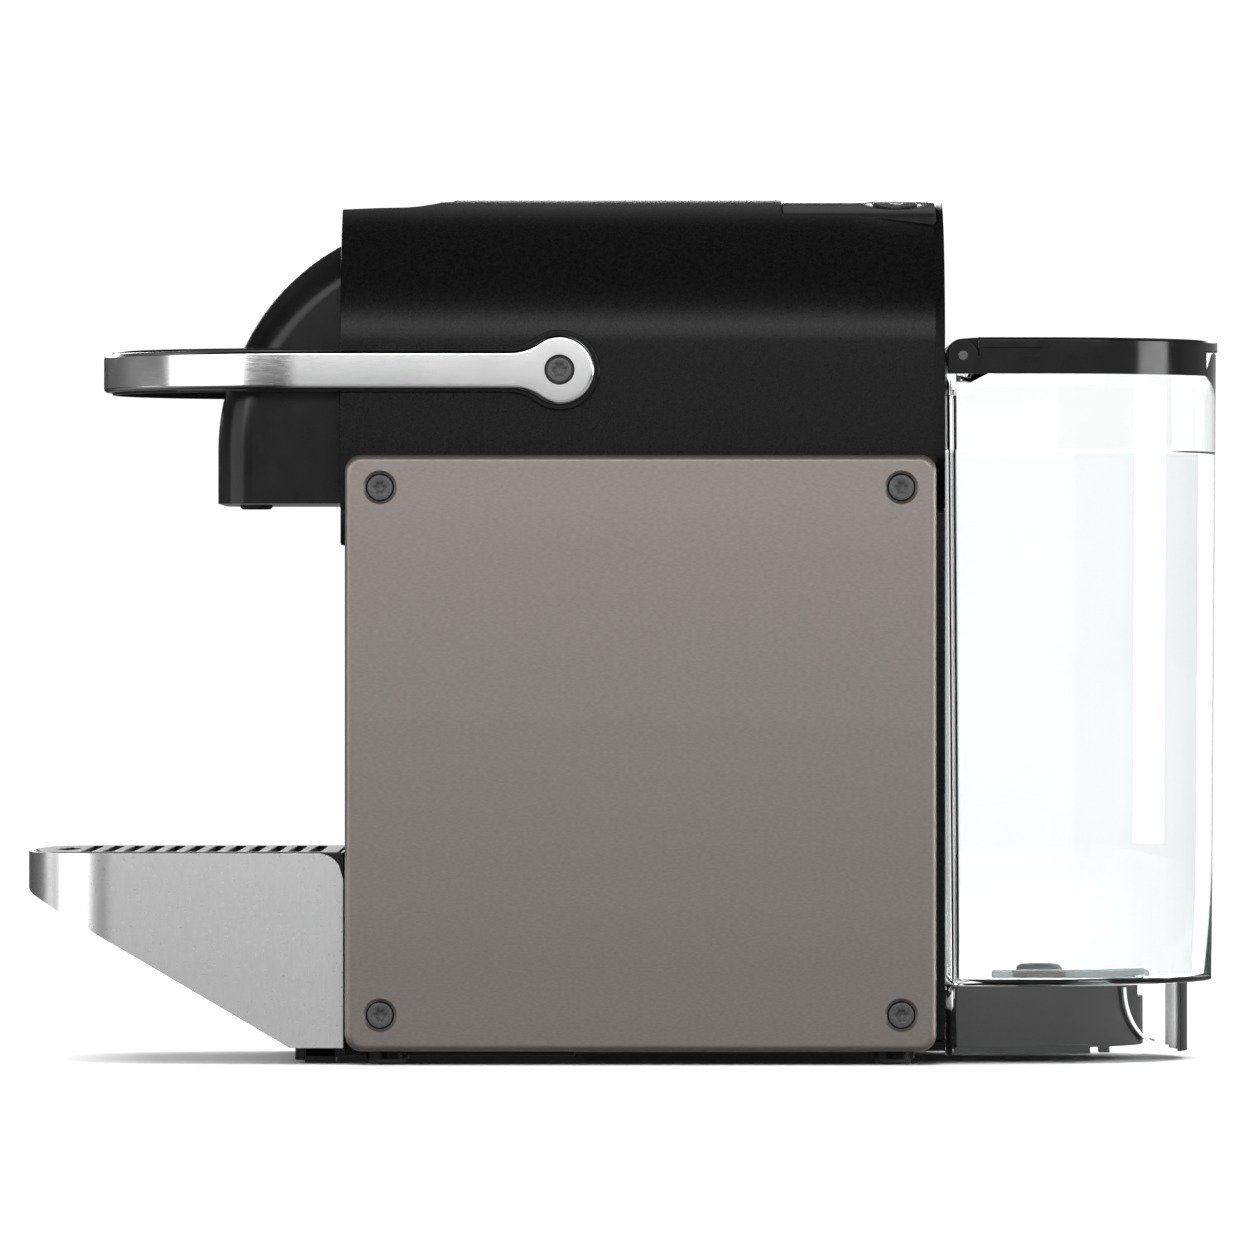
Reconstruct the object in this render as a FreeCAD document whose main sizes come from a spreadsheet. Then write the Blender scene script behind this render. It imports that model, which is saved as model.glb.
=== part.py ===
"""A narrow pod coffee machine: body with bolted side panels, lever, brew unit, drip unit and water tank.

Millimetres, +Z up, front towards -Y, origin on the table under the middle of the machine.
Every driving dimension is a named cell of the spreadsheet; all sub-parts read their sizes from those cells.
"""
import FreeCAD, Part
import math
import os
import re

import Sketcher

V = FreeCAD.Vector
doc = FreeCAD.newDocument("pod_coffee_machine")

# ---------------------------------------------------------------- driving dimensions
SIZES = {
    # housing: top cover, rear cover, base pan and frame plates
    "body_half": 51.5, "body_front": -76.5, "body_rear": 86.8, "cover_top": 235.0, "cover_bottom": 150.0,
    "cover_apron": 140.2, "apron_wall": 2.0, "cover_corner": 40.0, "cover_wall": 2.5, "cover_round": 2.5,
    "ceiling_z": 229.6, "scoop_z": 232.0, "scoop_start": -59.2, "scoop_end": -46.0, "pan_bottom": 3.6,
    "pan_top": 6.0, "frame_in": 48.5, "frame_out": 51.2, "frame_edge": -72.9, "flange_width": 9.0,
    "flange_height": 6.0, "flange_front": 0.0, "flange_back": 60.0, "channel": 32.6, "base_screw": 1.6,
    "base_screw_head": 2.8,
    # side panels and their screws
    "panel_in": 51.7, "panel_out": 55.5, "panel_front": -75.2, "panel_rear": 84.4, "panel_bottom": 3.6,
    "panel_top": 164.5, "panel_bevel": 1.8, "panel_corner": 4.5, "screw_inset": 9.5, "screw_head": 3.45,
    "screw_shank": 1.5, "screw_seat": 1.8, "screw_recess": 1.3, "screw_drop": 0.2, "spacer": 4.0,
    "dish": 1.6,
    # feet
    "foot_x": 43.0, "foot_front": -63.9, "foot_rear": 72.9, "foot_outer": 5.0, "foot_ring": 5.8,
    "foot_step": 1.35, "foot_stem": 3.5,
    # brew head
    "head_half": 43.0, "head_bottom": 151.5, "head_arc_y": -46.5, "head_arc_z": 165.7, "head_arc": 63.6,
    "head_round": 10.0, "head_wall": 2.4, "spout_y": -100.8, "spout_outer": 4.5, "spout_bore": 3.0,
    "spout_bottom": 150.3, "spout_edge": 0.6, "funnel_half": 10.0, "funnel_wall": 1.6, "funnel_reach": 5.0,
    "funnel_low": 170.0, "funnel_high": 200.0, "funnel_bend": 176.0, "funnel_sill": 164.0,
    "funnel_back": -89.5,
    # lever and its cam discs
    "pivot_y": -17.3, "pivot_z": 187.45, "lever_outer": 55.5, "lever_skin": 2.3, "liner_wall": 1.1,
    "lever_height": 10.4, "liner_height": 11.8, "lever_centre": -87.15, "lever_bevel": 0.6,
    "eye_outer": 9.5, "eye_bore": 4.1, "liner_eye": 10.8, "lever_screw": 2.2, "lever_recess": 1.4,
    "hub_outer": 6.0, "hub_gap": 0.05, "cam_in": 33.0, "cam_out": 36.0, "cam_outer": 34.3, "pin_far": 30.0,
    "pin_near": 5.0, "pin_outer": 2.4, "pin_end": 35.6, "cam_slot": 2.65, "cam_spare": 3.0,
    "lever_travel": 95.0,
    # brew chamber
    "cage_front": -71.7, "cage_rear": -43.2, "cage_outer": 20.0, "cage_bore": 17.0, "cage_depth": 22.0,
    "cage_ear": 32.0, "cage_ear_length": 14.0, "cage_boss": 24.0, "inlet_outer": 2.2, "inlet_bore": 2.6,
    "inlet_end": 2.0, "sleeve_wall": 1.6, "tube_bore": 1.2, "cheek_in": 37.0, "cheek_out": 40.0,
    "frame_wall": 4.0, "frame_front": -79.5, "frame_rear": 22.0, "frame_low": 158.0, "frame_high": 208.0,
    "rod_x": 27.0, "rod_z": 172.0, "rod_outer": 3.0, "rod_gap": 0.06, "outlet_bore": 9.0, "plate_hole": 0.9,
    "plate_pitch": 6.0, "seal_depth": 1.0, "seal_in": 0.6, "seal_out": 0.8, "blade_ring": 9.0,
    "blade_tip": 0.2, "blade_root": 1.6, "blade_length": 5.0, "slot_half": 20.5, "slot_front": -73.4,
    "slot_rear": -46.3, "shutter_bottom": 227.6, "shutter_top": 229.2, "shutter_half": 22.0,
    "shutter_rib": 8.0, "rail_back": -13.0,
    # drip unit
    "tray_front": -161.4, "tray_half": 49.0, "tray_corner": 23.0, "tray_bow": 212.0, "tray_top": 56.9,
    "tray_lip": 47.0, "tray_rear": -75.8, "tray_bottom": 4.3, "tray_heel": -90.3, "tray_skin": 1.2,
    "tray_wall": 1.6, "tray_round": 7.0, "grid_bottom": 54.4, "grid_top": 57.2, "grid_pitch": 5.65,
    "grid_slot": 3.0, "grid_first": 8.0, "grid_half": 41.0, "mouth_y": -152.2, "mouth_half": 22.0,
    "mouth_arc": 75.0, "box_half": 46.0, "box_front": -75.3, "box_rear": -13.3, "box_bottom": 7.6,
    "box_top": 139.4, "box_wall": 2.0, "box_corner": 4.0, "base_half": 32.0, "base_bottom": 1.5,
    "sill_half": 40.0, "sill_front": -86.5, "block_inner": 30.0, "block_back": -77.9, "hook_front": -89.0,
    "hook_bottom": 0.7,
    # water tank, its skirt, lid and foot valve
    "tank_front": 87.25, "tank_centre": 112.6, "tank_half": 50.0, "tank_bottom": 21.3, "tank_floor": 22.9,
    "tank_top": 193.0, "tank_wall": 2.4, "tank_taper": 0.4, "tank_step": 186.4, "rib_in": 22.0,
    "rib_out": 34.0, "rib_front": 100.0, "rib_back": 140.0, "rib_height": 2.6, "skirt_half": 42.1,
    "skirt_wall": 2.0, "skirt_bottom": 2.1, "valve_y": 113.0, "valve_hole": 5.2, "lid_top": 196.4,
    "lid_half": 50.4, "lid_edge": 0.8, "hinge_y": 91.7, "hinge_z": 191.45, "hinge_pin": 1.5,
    "pin_gap": 0.05, "pin_grip": 5.0, "knuckle": 4.5, "ear": 3.4, "lid_seam": 95.5, "flange_outer": 6.9,
    "housing_outer": 4.9, "housing_low": 20.0, "housing_high": 28.8, "chamber": 3.9, "chamber_low": 24.2,
    "chamber_high": 28.0, "throat": 3.0, "seal_ring": 6.55, "seal_low": 24.0, "seal_high": 26.7,
    "stem_outer": 2.6, "stem_low": 19.7, "stem_high": 24.6, "valve_outer": 3.5, "valve_top": 25.3,
    "spring_radius": 2.6, "spring_strip": 0.5,
    # pedestal behind the body, with the water inlet
    "stand_half": 34.0, "stand_rear": 142.6, "stand_top": 20.9, "stand_deck": 17.0, "stand_bottom": 3.8,
    "stand_wall": 2.4, "rest_in": 12.0, "stand_foot_in": 20.0, "stand_foot_out": 24.5,
    "stand_foot_front": 129.0, "stand_foot_back": 134.0, "stand_foot_low": 2.2, "well_outer": 10.0,
    "well_bore": 8.0, "well_low": 13.8, "well_floor": 15.2, "well_top": 18.5, "spigot_outer": 4.2,
    "spigot_step": 16.4, "spigot_tip": 2.4, "spigot_top": 19.3, "spigot_seal": 6.4, "water_bore": 1.4,
    # control panel
    "key_x": 20.0, "key_y": 74.0, "key_outer": 6.0, "key_gap": 0.3, "deck_half": 30.1, "deck_front": 43.0,
    "deck_rear": 85.0, "deck_recess": 0.5, "deck_wall": 2.2, "deck_rim": 1.4,
    # water circuit inside the body
    "pump_x": 18.0, "pump_z": 54.0, "pump_front": 6.0, "pump_rear": 68.0, "pump_bore": 4.0,
    "pump_outer": 15.0, "pump_neck": 8.0, "coil_half": 18.0, "coil_height": 21.0, "piston_gap": 0.05,
    "piston_nose": 1.8, "spring_wire": 0.5, "pump_spring_length": 18.6, "pump_spring_radius": 2.8,
    "mount_half": 12.0, "mount_width": 6.0, "mount_front": 14.0, "mount_back": 44.0, "fitting": 5.0,
    "meter_x": -20.0, "meter_y": 58.0, "meter_z": 48.0, "meter_outer": 14.0, "meter_wall": 2.5,
    "meter_height": 11.0, "meter_lid": 2.0, "rotor_hub": 3.0, "rotor_tip": 10.4, "vane_half": 0.8,
    "meter_barb": 2.3, "hose_outer": 3.6, "hose_bore": 2.2, "gland_x": -45.4, "gland_z": 13.0,
    "gland_bore": 3.1, "gland_outer": 4.4, "gland_in": 80.0, "hose_z": 10.0, "hose_turn_y": -8.6,
    "hose_rise_z": 138.0, "block_front": 22.0, "block_rear": 76.0, "block_low": 150.0, "block_high": 184.0,
    "block_half": 30.0, "block_inlet": 32.0, "groove_depth": 6.0, "groove_first": 38.0, "groove_width": 3.0,
    "groove_pitch": 9.0, "sensor_z": 168.0, "sensor_outer": 8.0, "sensor_cap": 5.0, "fuse_x": 24.0,
    "fuse_low": 156.0, "fuse_high": 180.0, "board_in": 43.4, "board_out": 45.0, "board_front": 2.0,
    "board_rear": 78.0, "board_low": 80.0, "board_high": 144.0,
}
sheet = doc.addObject("Spreadsheet::Sheet", "Sizes")
for row, (name, value) in enumerate(SIZES.items(), start=1):
    sheet.set(f"A{row}", name)
    sheet.set(f"B{row}", str(value))
    sheet.setAlias(f"B{row}", name)
doc.recompute()

FUNCTIONS = {"sqrt", "sin", "cos", "tan", "min", "max", "pow", "deg"}
nodes = {}


# ---------------------------------------------------------------- helpers
def formula(text):
    """A FreeCAD expression, from text in which each size is named by its cell's alias."""
    words = lambda match: match.group() if match.group() in FUNCTIONS else "Sizes." + match.group()
    return re.sub(r"[a-z_][a-z_0-9]*", words, str(text))


def size(text):
    """The number that an expression has now."""
    return float(sheet.evalExpression(formula(text)))


def bind(item, prop, text):
    """Binds one property of a document object to the spreadsheet."""
    item.setExpression(prop, formula(text))


def tested(item):
    """Recomputes and stops at once if the object failed, so that a fault is named where it starts."""
    doc.recompute()
    if {"Invalid", "Error"} & set(item.State) or item.Shape.isNull() or not item.Shape.isValid():
        raise RuntimeError(f"{item.Label} failed: {item.State}")
    return item


def node(name, item):
    """Names the object that is exported as a sub-part."""
    item.Label = name
    nodes[name] = tested(item)
    return item


def box(x, y, z, label="block"):
    """A box between two expressions on each axis."""
    item = doc.addObject("Part::Box", label)
    for prop, base, (low, high) in zip(("Length", "Width", "Height"), "xyz", (x, y, z)):
        bind(item, prop, f"({high}) - ({low})")
        bind(item, f"Placement.Base.{base}", low)
    return item


AXES = {"x": FreeCAD.Rotation(V(0, 1, 0), 90), "y": FreeCAD.Rotation(V(1, 0, 0), -90), "z": FreeCAD.Rotation()}


def rod(axis, centre, radius, low, high, label="round"):
    """A cylinder along one axis; centre holds the other two coordinates in X, Y, Z order."""
    item = doc.addObject("Part::Cylinder", label)
    item.Placement = FreeCAD.Placement(V(), AXES[axis])
    places = dict(zip([a for a in "xyz" if a != axis], centre))
    places[axis] = low
    for a, text in places.items():
        bind(item, f"Placement.Base.{a}", text)
    bind(item, "Radius", radius)
    bind(item, "Height", f"({high}) - ({low})")
    return item


def cone(axis, centre, radius_low, radius_high, low, high, label="taper"):
    """A truncated cone along one axis."""
    item = doc.addObject("Part::Cone", label)
    item.Placement = FreeCAD.Placement(V(), AXES[axis])
    places = dict(zip([a for a in "xyz" if a != axis], centre))
    places[axis] = low
    for a, text in places.items():
        bind(item, f"Placement.Base.{a}", text)
    bind(item, "Radius1", radius_low)
    bind(item, "Radius2", radius_high)
    bind(item, "Height", f"({high}) - ({low})")
    return item


def fuse(*items):
    item = doc.addObject("Part::MultiFuse", "joined")
    item.Shapes = [tested(i) for i in items]
    item.Refine = True
    return tested(item)


def cut(base, *tools):
    """base less the tools; it checks that something was really removed."""
    item = doc.addObject("Part::Cut", "cut")
    item.Base = tested(base)
    item.Tool = tested(tools[0]) if len(tools) == 1 else fuse(*tools)
    item.Refine = True
    tested(item)
    if item.Shape.Volume > base.Shape.Volume - 0.01:
        raise RuntimeError(f"a cut from {base.Label} removed nothing")
    return item


def common(a, b):
    item = doc.addObject("Part::Common", "shared")
    item.Base, item.Tool = tested(a), tested(b)
    return tested(item)


def group(*items):
    """Separate solids that share one node."""
    item = doc.addObject("Part::Compound", "group")
    item.Links = [tested(i) for i in items]
    return tested(item)


def mirrored(item):
    """The same piece on the other side of the machine, across X = 0."""
    copy = doc.addObject("Part::Mirroring", "mirror")
    copy.Source = tested(item)
    copy.Base, copy.Normal = V(), V(1, 0, 0)
    return tested(copy)


def edges_where(shape, test):
    return [f"Edge{i}" for i, edge in enumerate(shape.Edges, start=1) if test(edge)]


def middle(edge):
    return edge.valueAt((edge.FirstParameter + edge.LastParameter) / 2)


def runs_along(edge, axis):
    """True for a straight edge parallel to x, y or z."""
    return edge.Curve.TypeId == "Part::GeomLine" and abs(getattr(edge.Curve.Direction, axis)) > 0.999


def rounded(item, radius, test):
    """Fillets the edges that pass a test. radius is an expression."""
    tested(item)
    names = edges_where(item.Shape, test)
    if not names:
        raise RuntimeError(f"no edge of {item.Label} to round")
    fillet = doc.addObject("Part::Fillet", "rounded")
    fillet.Base = item
    fillet.Edges = [(int(n[4:]), size(radius), size(radius)) for n in names]
    return tested(fillet)


def bevelled(item, width, test):
    """Chamfers the edges that pass a test. width is an expression."""
    tested(item)
    names = edges_where(item.Shape, test)
    if not names:
        raise RuntimeError(f"no edge of {item.Label} to bevel")
    chamfer = doc.addObject("Part::Chamfer", "bevelled")
    chamfer.Base = item
    chamfer.Edges = [(int(n[4:]), size(width), size(width)) for n in names]
    return tested(chamfer)


PLANES = {"xy": "XY_Plane", "xz": "XZ_Plane", "yz": "YZ_Plane"}


def arc_through(start, end, radius, left):
    """Arc of a circle from start to end; left says on which side of the chord its centre lies."""
    half = (end - start) * 0.5
    side = V(-half.y, half.x, 0).normalize() * (1 if left else -1)
    reach = math.sqrt(max(radius ** 2 - half.Length ** 2, 0.0))
    centre = start + half + side * reach
    bulge = centre - side * radius
    return Part.Arc(start, bulge, end)


def sketched(body, plane, outline, offset="0"):
    """A closed sketch on an origin plane of its body. A corner of outline is (u, v), or (u, v, radius, left)
    when an arc of that radius leaves it. Every coordinate and radius is a constraint bound to the sheet."""
    sketch = body.newObject("Sketcher::SketchObject", "sketch")
    origin = [f for f in body.Origin.OriginFeatures if f.Role == PLANES[plane]][0]
    sketch.AttachmentSupport = [(origin, "")]
    sketch.MapMode = "FlatFace"
    bind(sketch, "AttachmentOffset.Base.z", offset)
    corners = [V(size(c[0]), size(c[1]), 0) for c in outline]
    for i, corner in enumerate(outline):
        start, end = corners[i], corners[(i + 1) % len(corners)]
        if len(corner) > 2:
            sketch.addGeometry(arc_through(start, end, size(corner[2]), corner[3]), False)
        else:
            sketch.addGeometry(Part.LineSegment(start, end), False)
    ends = []
    for i, corner in enumerate(outline):
        start, end = corners[i], corners[(i + 1) % len(corners)]
        made = sketch.Geometry[i]
        forward = (made.StartPoint - start).Length <= (made.EndPoint - start).Length
        ends.append((1, 2) if forward else (2, 1))
    for i in range(len(outline)):
        following = (i + 1) % len(outline)
        sketch.addConstraint(Sketcher.Constraint("Coincident", i, ends[i][1], following, ends[following][0]))
    for i, corner in enumerate(outline):
        for kind, axis in (("DistanceX", 0), ("DistanceY", 1)):
            value = corners[i][axis]
            place = sketch.addConstraint(Sketcher.Constraint(kind, -1, 1, i, ends[i][0], value))
            sketch.renameConstraint(place, f"corner{i}_{axis}")
            bind(sketch, f"Constraints.corner{i}_{axis}", corner[axis])
        if len(corner) > 2:
            place = sketch.addConstraint(Sketcher.Constraint("Radius", i, size(corner[2])))
            sketch.renameConstraint(place, f"arc{i}")
            bind(sketch, f"Constraints.arc{i}", corner[2])
    return sketch


def prism(plane, outline, low, high, taper="0", label="prism"):
    """A PartDesign body: an outline on xy, xz or yz, padded between two distances along the plane's normal.
    The normal of xz points to -Y, so its distances run that way too."""
    body = doc.addObject("PartDesign::Body", label)
    sketch = sketched(body, plane, outline, low)
    pad = body.newObject("PartDesign::Pad", "pad")
    pad.Profile = sketch
    bind(pad, "Length", f"({high}) - ({low})")
    if taper != "0":
        bind(pad, "TaperAngle", taper)
    return tested(body)


def on_tip(body, kind, radius, test):
    """Adds a PartDesign fillet or chamfer on the edges of the body's tip that pass a test."""
    tip = body.Tip
    feature = body.newObject(f"PartDesign::{kind}", kind.lower())
    names = edges_where(tip.Shape, test)
    if not names:
        raise RuntimeError(f"no edge of {body.Label} for its {kind}")
    feature.Base = (tip, names)
    bind(feature, "Radius" if kind == "Fillet" else "Size", radius)
    return tested(body)


def d_outline(half, front, centre):
    """Plan of the tank: straight front and sides, and a half-round back, on the xy plane."""
    return [
        (f"-({half})", front), (half, front), (half, centre, half, True),
        ("0", f"({centre}) + ({half})", half, True), (f"-({half})", centre),
    ]


def tube_along(points, bend, outer, bore):
    """A hose: straight runs joined by tangent arcs of one bend radius, swept with a ring."""
    edges, here = [], points[0]
    for before, corner, after in zip(points, points[1:], points[2:]):
        inward, outward = (before - corner).normalize(), (after - corner).normalize()
        turn = math.pi - inward.getAngle(outward)
        back = bend * math.tan(turn / 2)
        start, end = corner + inward * back, corner + outward * back
        bisector = (inward + outward).normalize()
        deepest = corner + bisector * (bend / math.cos(turn / 2) - bend)
        edges += [Part.LineSegment(here, start).toShape(), Part.Arc(start, deepest, end).toShape()]
        here = end
    edges.append(Part.LineSegment(here, points[-1]).toShape())
    path = Part.Wire(edges)
    heading = (points[1] - points[0]).normalize()
    pipes = []
    for radius in (outer, bore):
        ring = Part.Wire([Part.Circle(points[0], heading, radius).toShape()])
        pipes.append(path.makePipeShell([ring], True, True))
    return pipes[0].cut(pipes[1])


def feature(shape, label="shape"):
    """A document object that holds a finished shape."""
    item = doc.addObject("Part::Feature", label)
    item.Shape = shape
    return tested(item)


# ---------------------------------------------------------------- housing
def cover_outline(inset, bottom):
    """Cross-section of the housing, moved inwards by inset: upright sides and rounded shoulders."""
    half, corner, top = f"(body_half - {inset})", f"cover_corner - {inset}", f"cover_top - {inset}"
    flat, shoulder = "(body_half - cover_corner)", "cover_top - cover_corner"
    return [
        (f"-{half}", bottom), (half, bottom), (half, shoulder, corner, True), (flat, top),
        (f"-{flat}", top, corner, True), (f"-{half}", shoulder),
    ]


def make_top_cover():
    """Housing above the frame plates: shell, apron, capsule slot, control panel's hole and shutter rails."""
    outer = prism("xz", cover_outline("0", "cover_bottom"), "-body_rear", "-body_front", label="cover_block")
    on_tip(outer, "Fillet", "cover_round",
           lambda e: abs(middle(e).y - size("body_rear")) < 0.01 and middle(e).z > size("cover_bottom + 30"))
    apron = box(("-body_half", "body_half"), ("body_front", "body_front + apron_wall"),
                ("cover_apron", "cover_bottom + 5"))
    hollow = prism("xz", cover_outline("cover_wall", "cover_bottom - 20"), "-(body_rear - cover_wall)",
                   "-(body_front + cover_wall)", label="cover_hollow")
    below_ceiling = box(("-body_half", "body_half"), ("body_front", "body_rear"),
                        ("cover_bottom - 30", "ceiling_z"))
    scoop = prism("yz", [
        ("body_front - 2", "scoop_z - 0.1"), ("scoop_start", "scoop_z + 0.2"), ("scoop_end", "cover_top"),
        ("scoop_end", "cover_top + 2"), ("body_front - 2", "cover_top + 2"),
    ], "-cover_corner", "cover_corner", label="scoop")
    slot = box(("-slot_half", "slot_half"), ("slot_front", "slot_rear"), ("ceiling_z - 1", "cover_top + 1"))
    deck_hole = box(("-deck_half", "deck_half"), ("deck_front", "deck_rear"),
                    ("ceiling_z - 8", "cover_top + 1"))
    head_opening = box(("-(cheek_out + 0.4)", "cheek_out + 0.4"), ("body_front - 1", "body_front + 6"),
                       ("frame_low - 3", "frame_high + 3"))
    hubs = rod("x", ("pivot_y", "pivot_z"), "hub_outer + 0.5", "-60", "60")
    shell = cut(fuse(outer, apron), common(hollow, below_ceiling), scoop, slot, deck_hole, head_opening, hubs)
    rails = []
    run = ("body_front + cover_wall", "rail_back")
    outer_edge = "shutter_half + 2"
    for side in (1, -1):
        for inner, top in (("shutter_half + 0.4", "ceiling_z"), ("slot_half + 0.4", "shutter_bottom - 0.4")):
            edges = (inner, outer_edge) if side > 0 else (f"-({outer_edge})", f"-({inner})")
            rails.append(box(edges, run, ("shutter_bottom - 2", top)))
    return fuse(shell, *rails)


def make_base():
    """Base pan with a channel for the drip unit, and the sockets of the four feet."""
    pan = box(("-frame_out", "frame_out"), ("frame_edge", "body_rear"), ("pan_bottom", "pan_top"))
    channel = box(("-channel", "channel"), ("body_front", "box_rear + 1.5"), ("pan_bottom - 1", "pan_top + 1"))
    pan = cut(pan, channel)
    sockets, wells, feet = [], [], []
    for x in ("foot_x", "-foot_x"):
        for y in ("foot_front", "foot_rear"):
            sockets.append(rod("z", (x, y), "foot_ring", "foot_step", "pan_top"))
            wells.append(rod("z", (x, y), "foot_stem", "0", "pan_top - 1"))
            pad = rod("z", (x, y), "foot_outer", "0", "foot_step")
            feet.append(fuse(pad, rod("z", (x, y), "foot_stem", "foot_step - 0.5", "pan_top - 1")))
    node("rubber_feet", group(*feet))
    return cut(fuse(pan, *sockets), *wells)


def make_frames(base):
    """Frame plates left and right, which stand on the pan, carry the panels and hold up the top cover."""
    plates = {}
    starts = ("flange_front", "flange_back")
    for name, side in (("frame_right", 1), ("frame_left", -1)):
        span = ("frame_in", "frame_out") if side > 0 else ("-frame_out", "-frame_in")
        foot = ("frame_in - flange_width", "frame_in + 1")
        foot = foot if side > 0 else (f"-({foot[1]})", f"-({foot[0]})")
        plate = box(span, ("frame_edge", "body_rear - cover_wall"), ("pan_top", "cover_bottom"))
        flanges = [box(foot, (y, f"{y} + flange_width"), ("pan_top", "pan_top + flange_height"))
                   for y in starts]
        plates[name] = fuse(plate, *flanges)
    notch = box(("-(frame_out + 1)", "-(frame_in - 1)"), ("gland_in - 0.5", "body_rear"),
                ("gland_z - 5", "gland_z + 5"))
    plates["frame_left"] = cut(plates["frame_left"], notch)
    screws, every = [], []
    for name, side in (("frame_right", ""), ("frame_left", "-")):
        places = [(f"{side}(frame_in - flange_width/2)", f"{y} + flange_width/2") for y in starts]
        holes = [rod("z", at, "base_screw", "0", "pan_top + 5") for at in places]
        plates[name] = cut(plates[name], *holes)
        every += places
    for at in every:
        shank = rod("z", at, "base_screw", "pan_bottom + 0.4", "pan_top + 5")
        screws.append(fuse(shank, rod("z", at, "base_screw_head", "pan_bottom + 0.4", "pan_bottom + 1.6")))
    base = cut(base, *[rod("z", at, "base_screw", "0", "pan_top + 1") for at in every],
               *[rod("z", at, "base_screw_head", "0", "pan_bottom + 1.6") for at in every])
    node("chassis_base", base)
    node("base_screws", group(*screws))
    return plates


def make_panels(cover, plates):
    """Bolted metal side panels with bevelled rims, and their eight screws."""
    panel = box(("panel_in", "panel_out"), ("panel_front", "panel_rear"), ("panel_bottom", "panel_top"))
    panel = rounded(panel, "panel_corner", lambda e: runs_along(e, "x"))
    panel = bevelled(panel, "panel_bevel", lambda e: abs(middle(e).x - size("panel_out")) < 0.01)
    columns = ("panel_front + screw_inset", "panel_rear - screw_inset")
    low_screws = [(y, "panel_bottom + screw_inset + 0.3") for y in columns]
    high_screws = [(y, "panel_top - screw_inset + 0.7") for y in columns]
    seat = "panel_out - screw_seat"
    seats, holes, screws = [], [], []
    for at in low_screws + high_screws:
        seats.append(cone("x", at, "screw_head", "screw_head + dish", "panel_out - dish", "panel_out + 0.65"))
        seats.append(rod("x", at, "screw_head + 0.05", seat, "panel_out"))
        holes.append(rod("x", at, "screw_shank", "frame_in - 1", "panel_out"))
        head = cut(rod("x", at, "screw_head", seat, "panel_out - screw_drop"),
                   rod("x", at, "screw_recess", "panel_out - 1.2", "panel_out"))
        screws.append(fuse(head, rod("x", at, "screw_shank", "frame_in + 0.2", seat)))
    panel = cut(panel, *seats, *holes)
    node("side_panel_right", panel)
    node("side_panel_left", mirrored(panel))
    right_screws = group(*screws)
    node("side_panel_screws", group(right_screws, mirrored(right_screws)))

    def spacers(places, start):
        """Round pads between the panel and what it is bolted to, with the screws' holes."""
        return group(*[cut(rod("x", at, "spacer", start, "panel_in"), rod("x", at, "screw_shank", "50", "53"))
                       for at in places])

    for name, plate in plates.items():
        pads = spacers(low_screws, "frame_out")
        pads = pads if name == "frame_right" else mirrored(pads)
        node(name, cut(fuse(plate, pads), *[rod("x", at, "screw_shank", "-60", "60") for at in low_screws]))
    shoulders = spacers(high_screws, "body_half")
    cover = cut(cover, *[rod("x", at, "screw_shank", "-60", "60") for at in high_screws])
    node("top_cover", fuse(cover, shoulders, mirrored(shoulders)))


def make_rear_cover():
    """Flat rear wall below the top cover, with the mains lead's bushing and a hole for the suction hose."""
    wall = box(("-frame_out", "frame_out"), ("body_rear - cover_wall", "body_rear"),
               ("pan_top", "cover_bottom"))
    bush = rod("y", ("gland_x", "gland_z"), "gland_outer", "gland_in", "body_rear")
    wall = cut(wall, rod("y", ("gland_x", "gland_z"), "gland_outer", "80", "90"),
               rod("y", ("0", "hose_z"), "hose_outer + 0.6", "80", "90"))
    node("rear_cover", wall)
    node("cord_gland", cut(bush, rod("y", ("gland_x", "gland_z"), "gland_bore", "70", "90")))


# ---------------------------------------------------------------- brew head
def head_block(inset, rear):
    """The brew head's outer form, moved inwards by inset: an arched side profile with rounded edges."""
    half, front = f"head_half - {inset}", f"head_arc_y - head_arc + {inset}"
    top = f"head_arc_z + sqrt((head_arc - {inset})^2 - ({rear} - head_arc_y)^2)"
    block = prism("yz", [
        (rear, f"head_bottom + {inset}"), (rear, top, f"head_arc - {inset}", True), (front, "head_arc_z"),
        (front, f"head_bottom + {inset}"),
    ], f"-({half})", half, label="head_block")

    def side_rim(edge):
        at = middle(edge)
        on_side = abs(abs(at.x) - size(half)) < 0.01
        return on_side and at.y < size(rear) - 0.1 and at.z > size("head_bottom") + 4

    on_tip(block, "Fillet", f"head_round - {inset}", side_rim)
    return block


def make_head():
    """Hollow front head and the coffee spout in its floor."""
    at = ("0", "spout_y")
    shell = cut(head_block("0", "body_front"), head_block("head_wall", "body_front + 1"))
    node("front_nose", cut(shell, rod("z", at, "spout_outer", "head_bottom - 1", "head_bottom + 5")))
    spout = rod("z", at, "spout_outer", "spout_bottom", "frame_low")
    spout = bevelled(spout, "spout_edge", lambda e: abs(middle(e).z - size("spout_bottom")) < 0.01)
    node("coffee_spout", cut(spout, rod("z", at, "spout_bore", "spout_bottom - 1", "frame_low + 1")))


def funnel_block(inset, half):
    """Side profile of the coffee outlet, from the extraction plate forwards and down to the spout."""
    front, rear = f"spout_y - funnel_reach + {inset}", "frame_front"
    return prism("yz", [
        (rear, f"funnel_low + {inset}"), (rear, f"funnel_high - {inset}"),
        (f"funnel_back + {inset}", f"funnel_high - {inset}"), (front, f"funnel_bend - {inset}"),
        (front, "frame_low"), (f"spout_y + funnel_reach - {inset}", "frame_low"),
        (f"spout_y + funnel_reach - {inset}", f"funnel_sill + {inset}"),
    ], f"-({half})", half, label="funnel")


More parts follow.
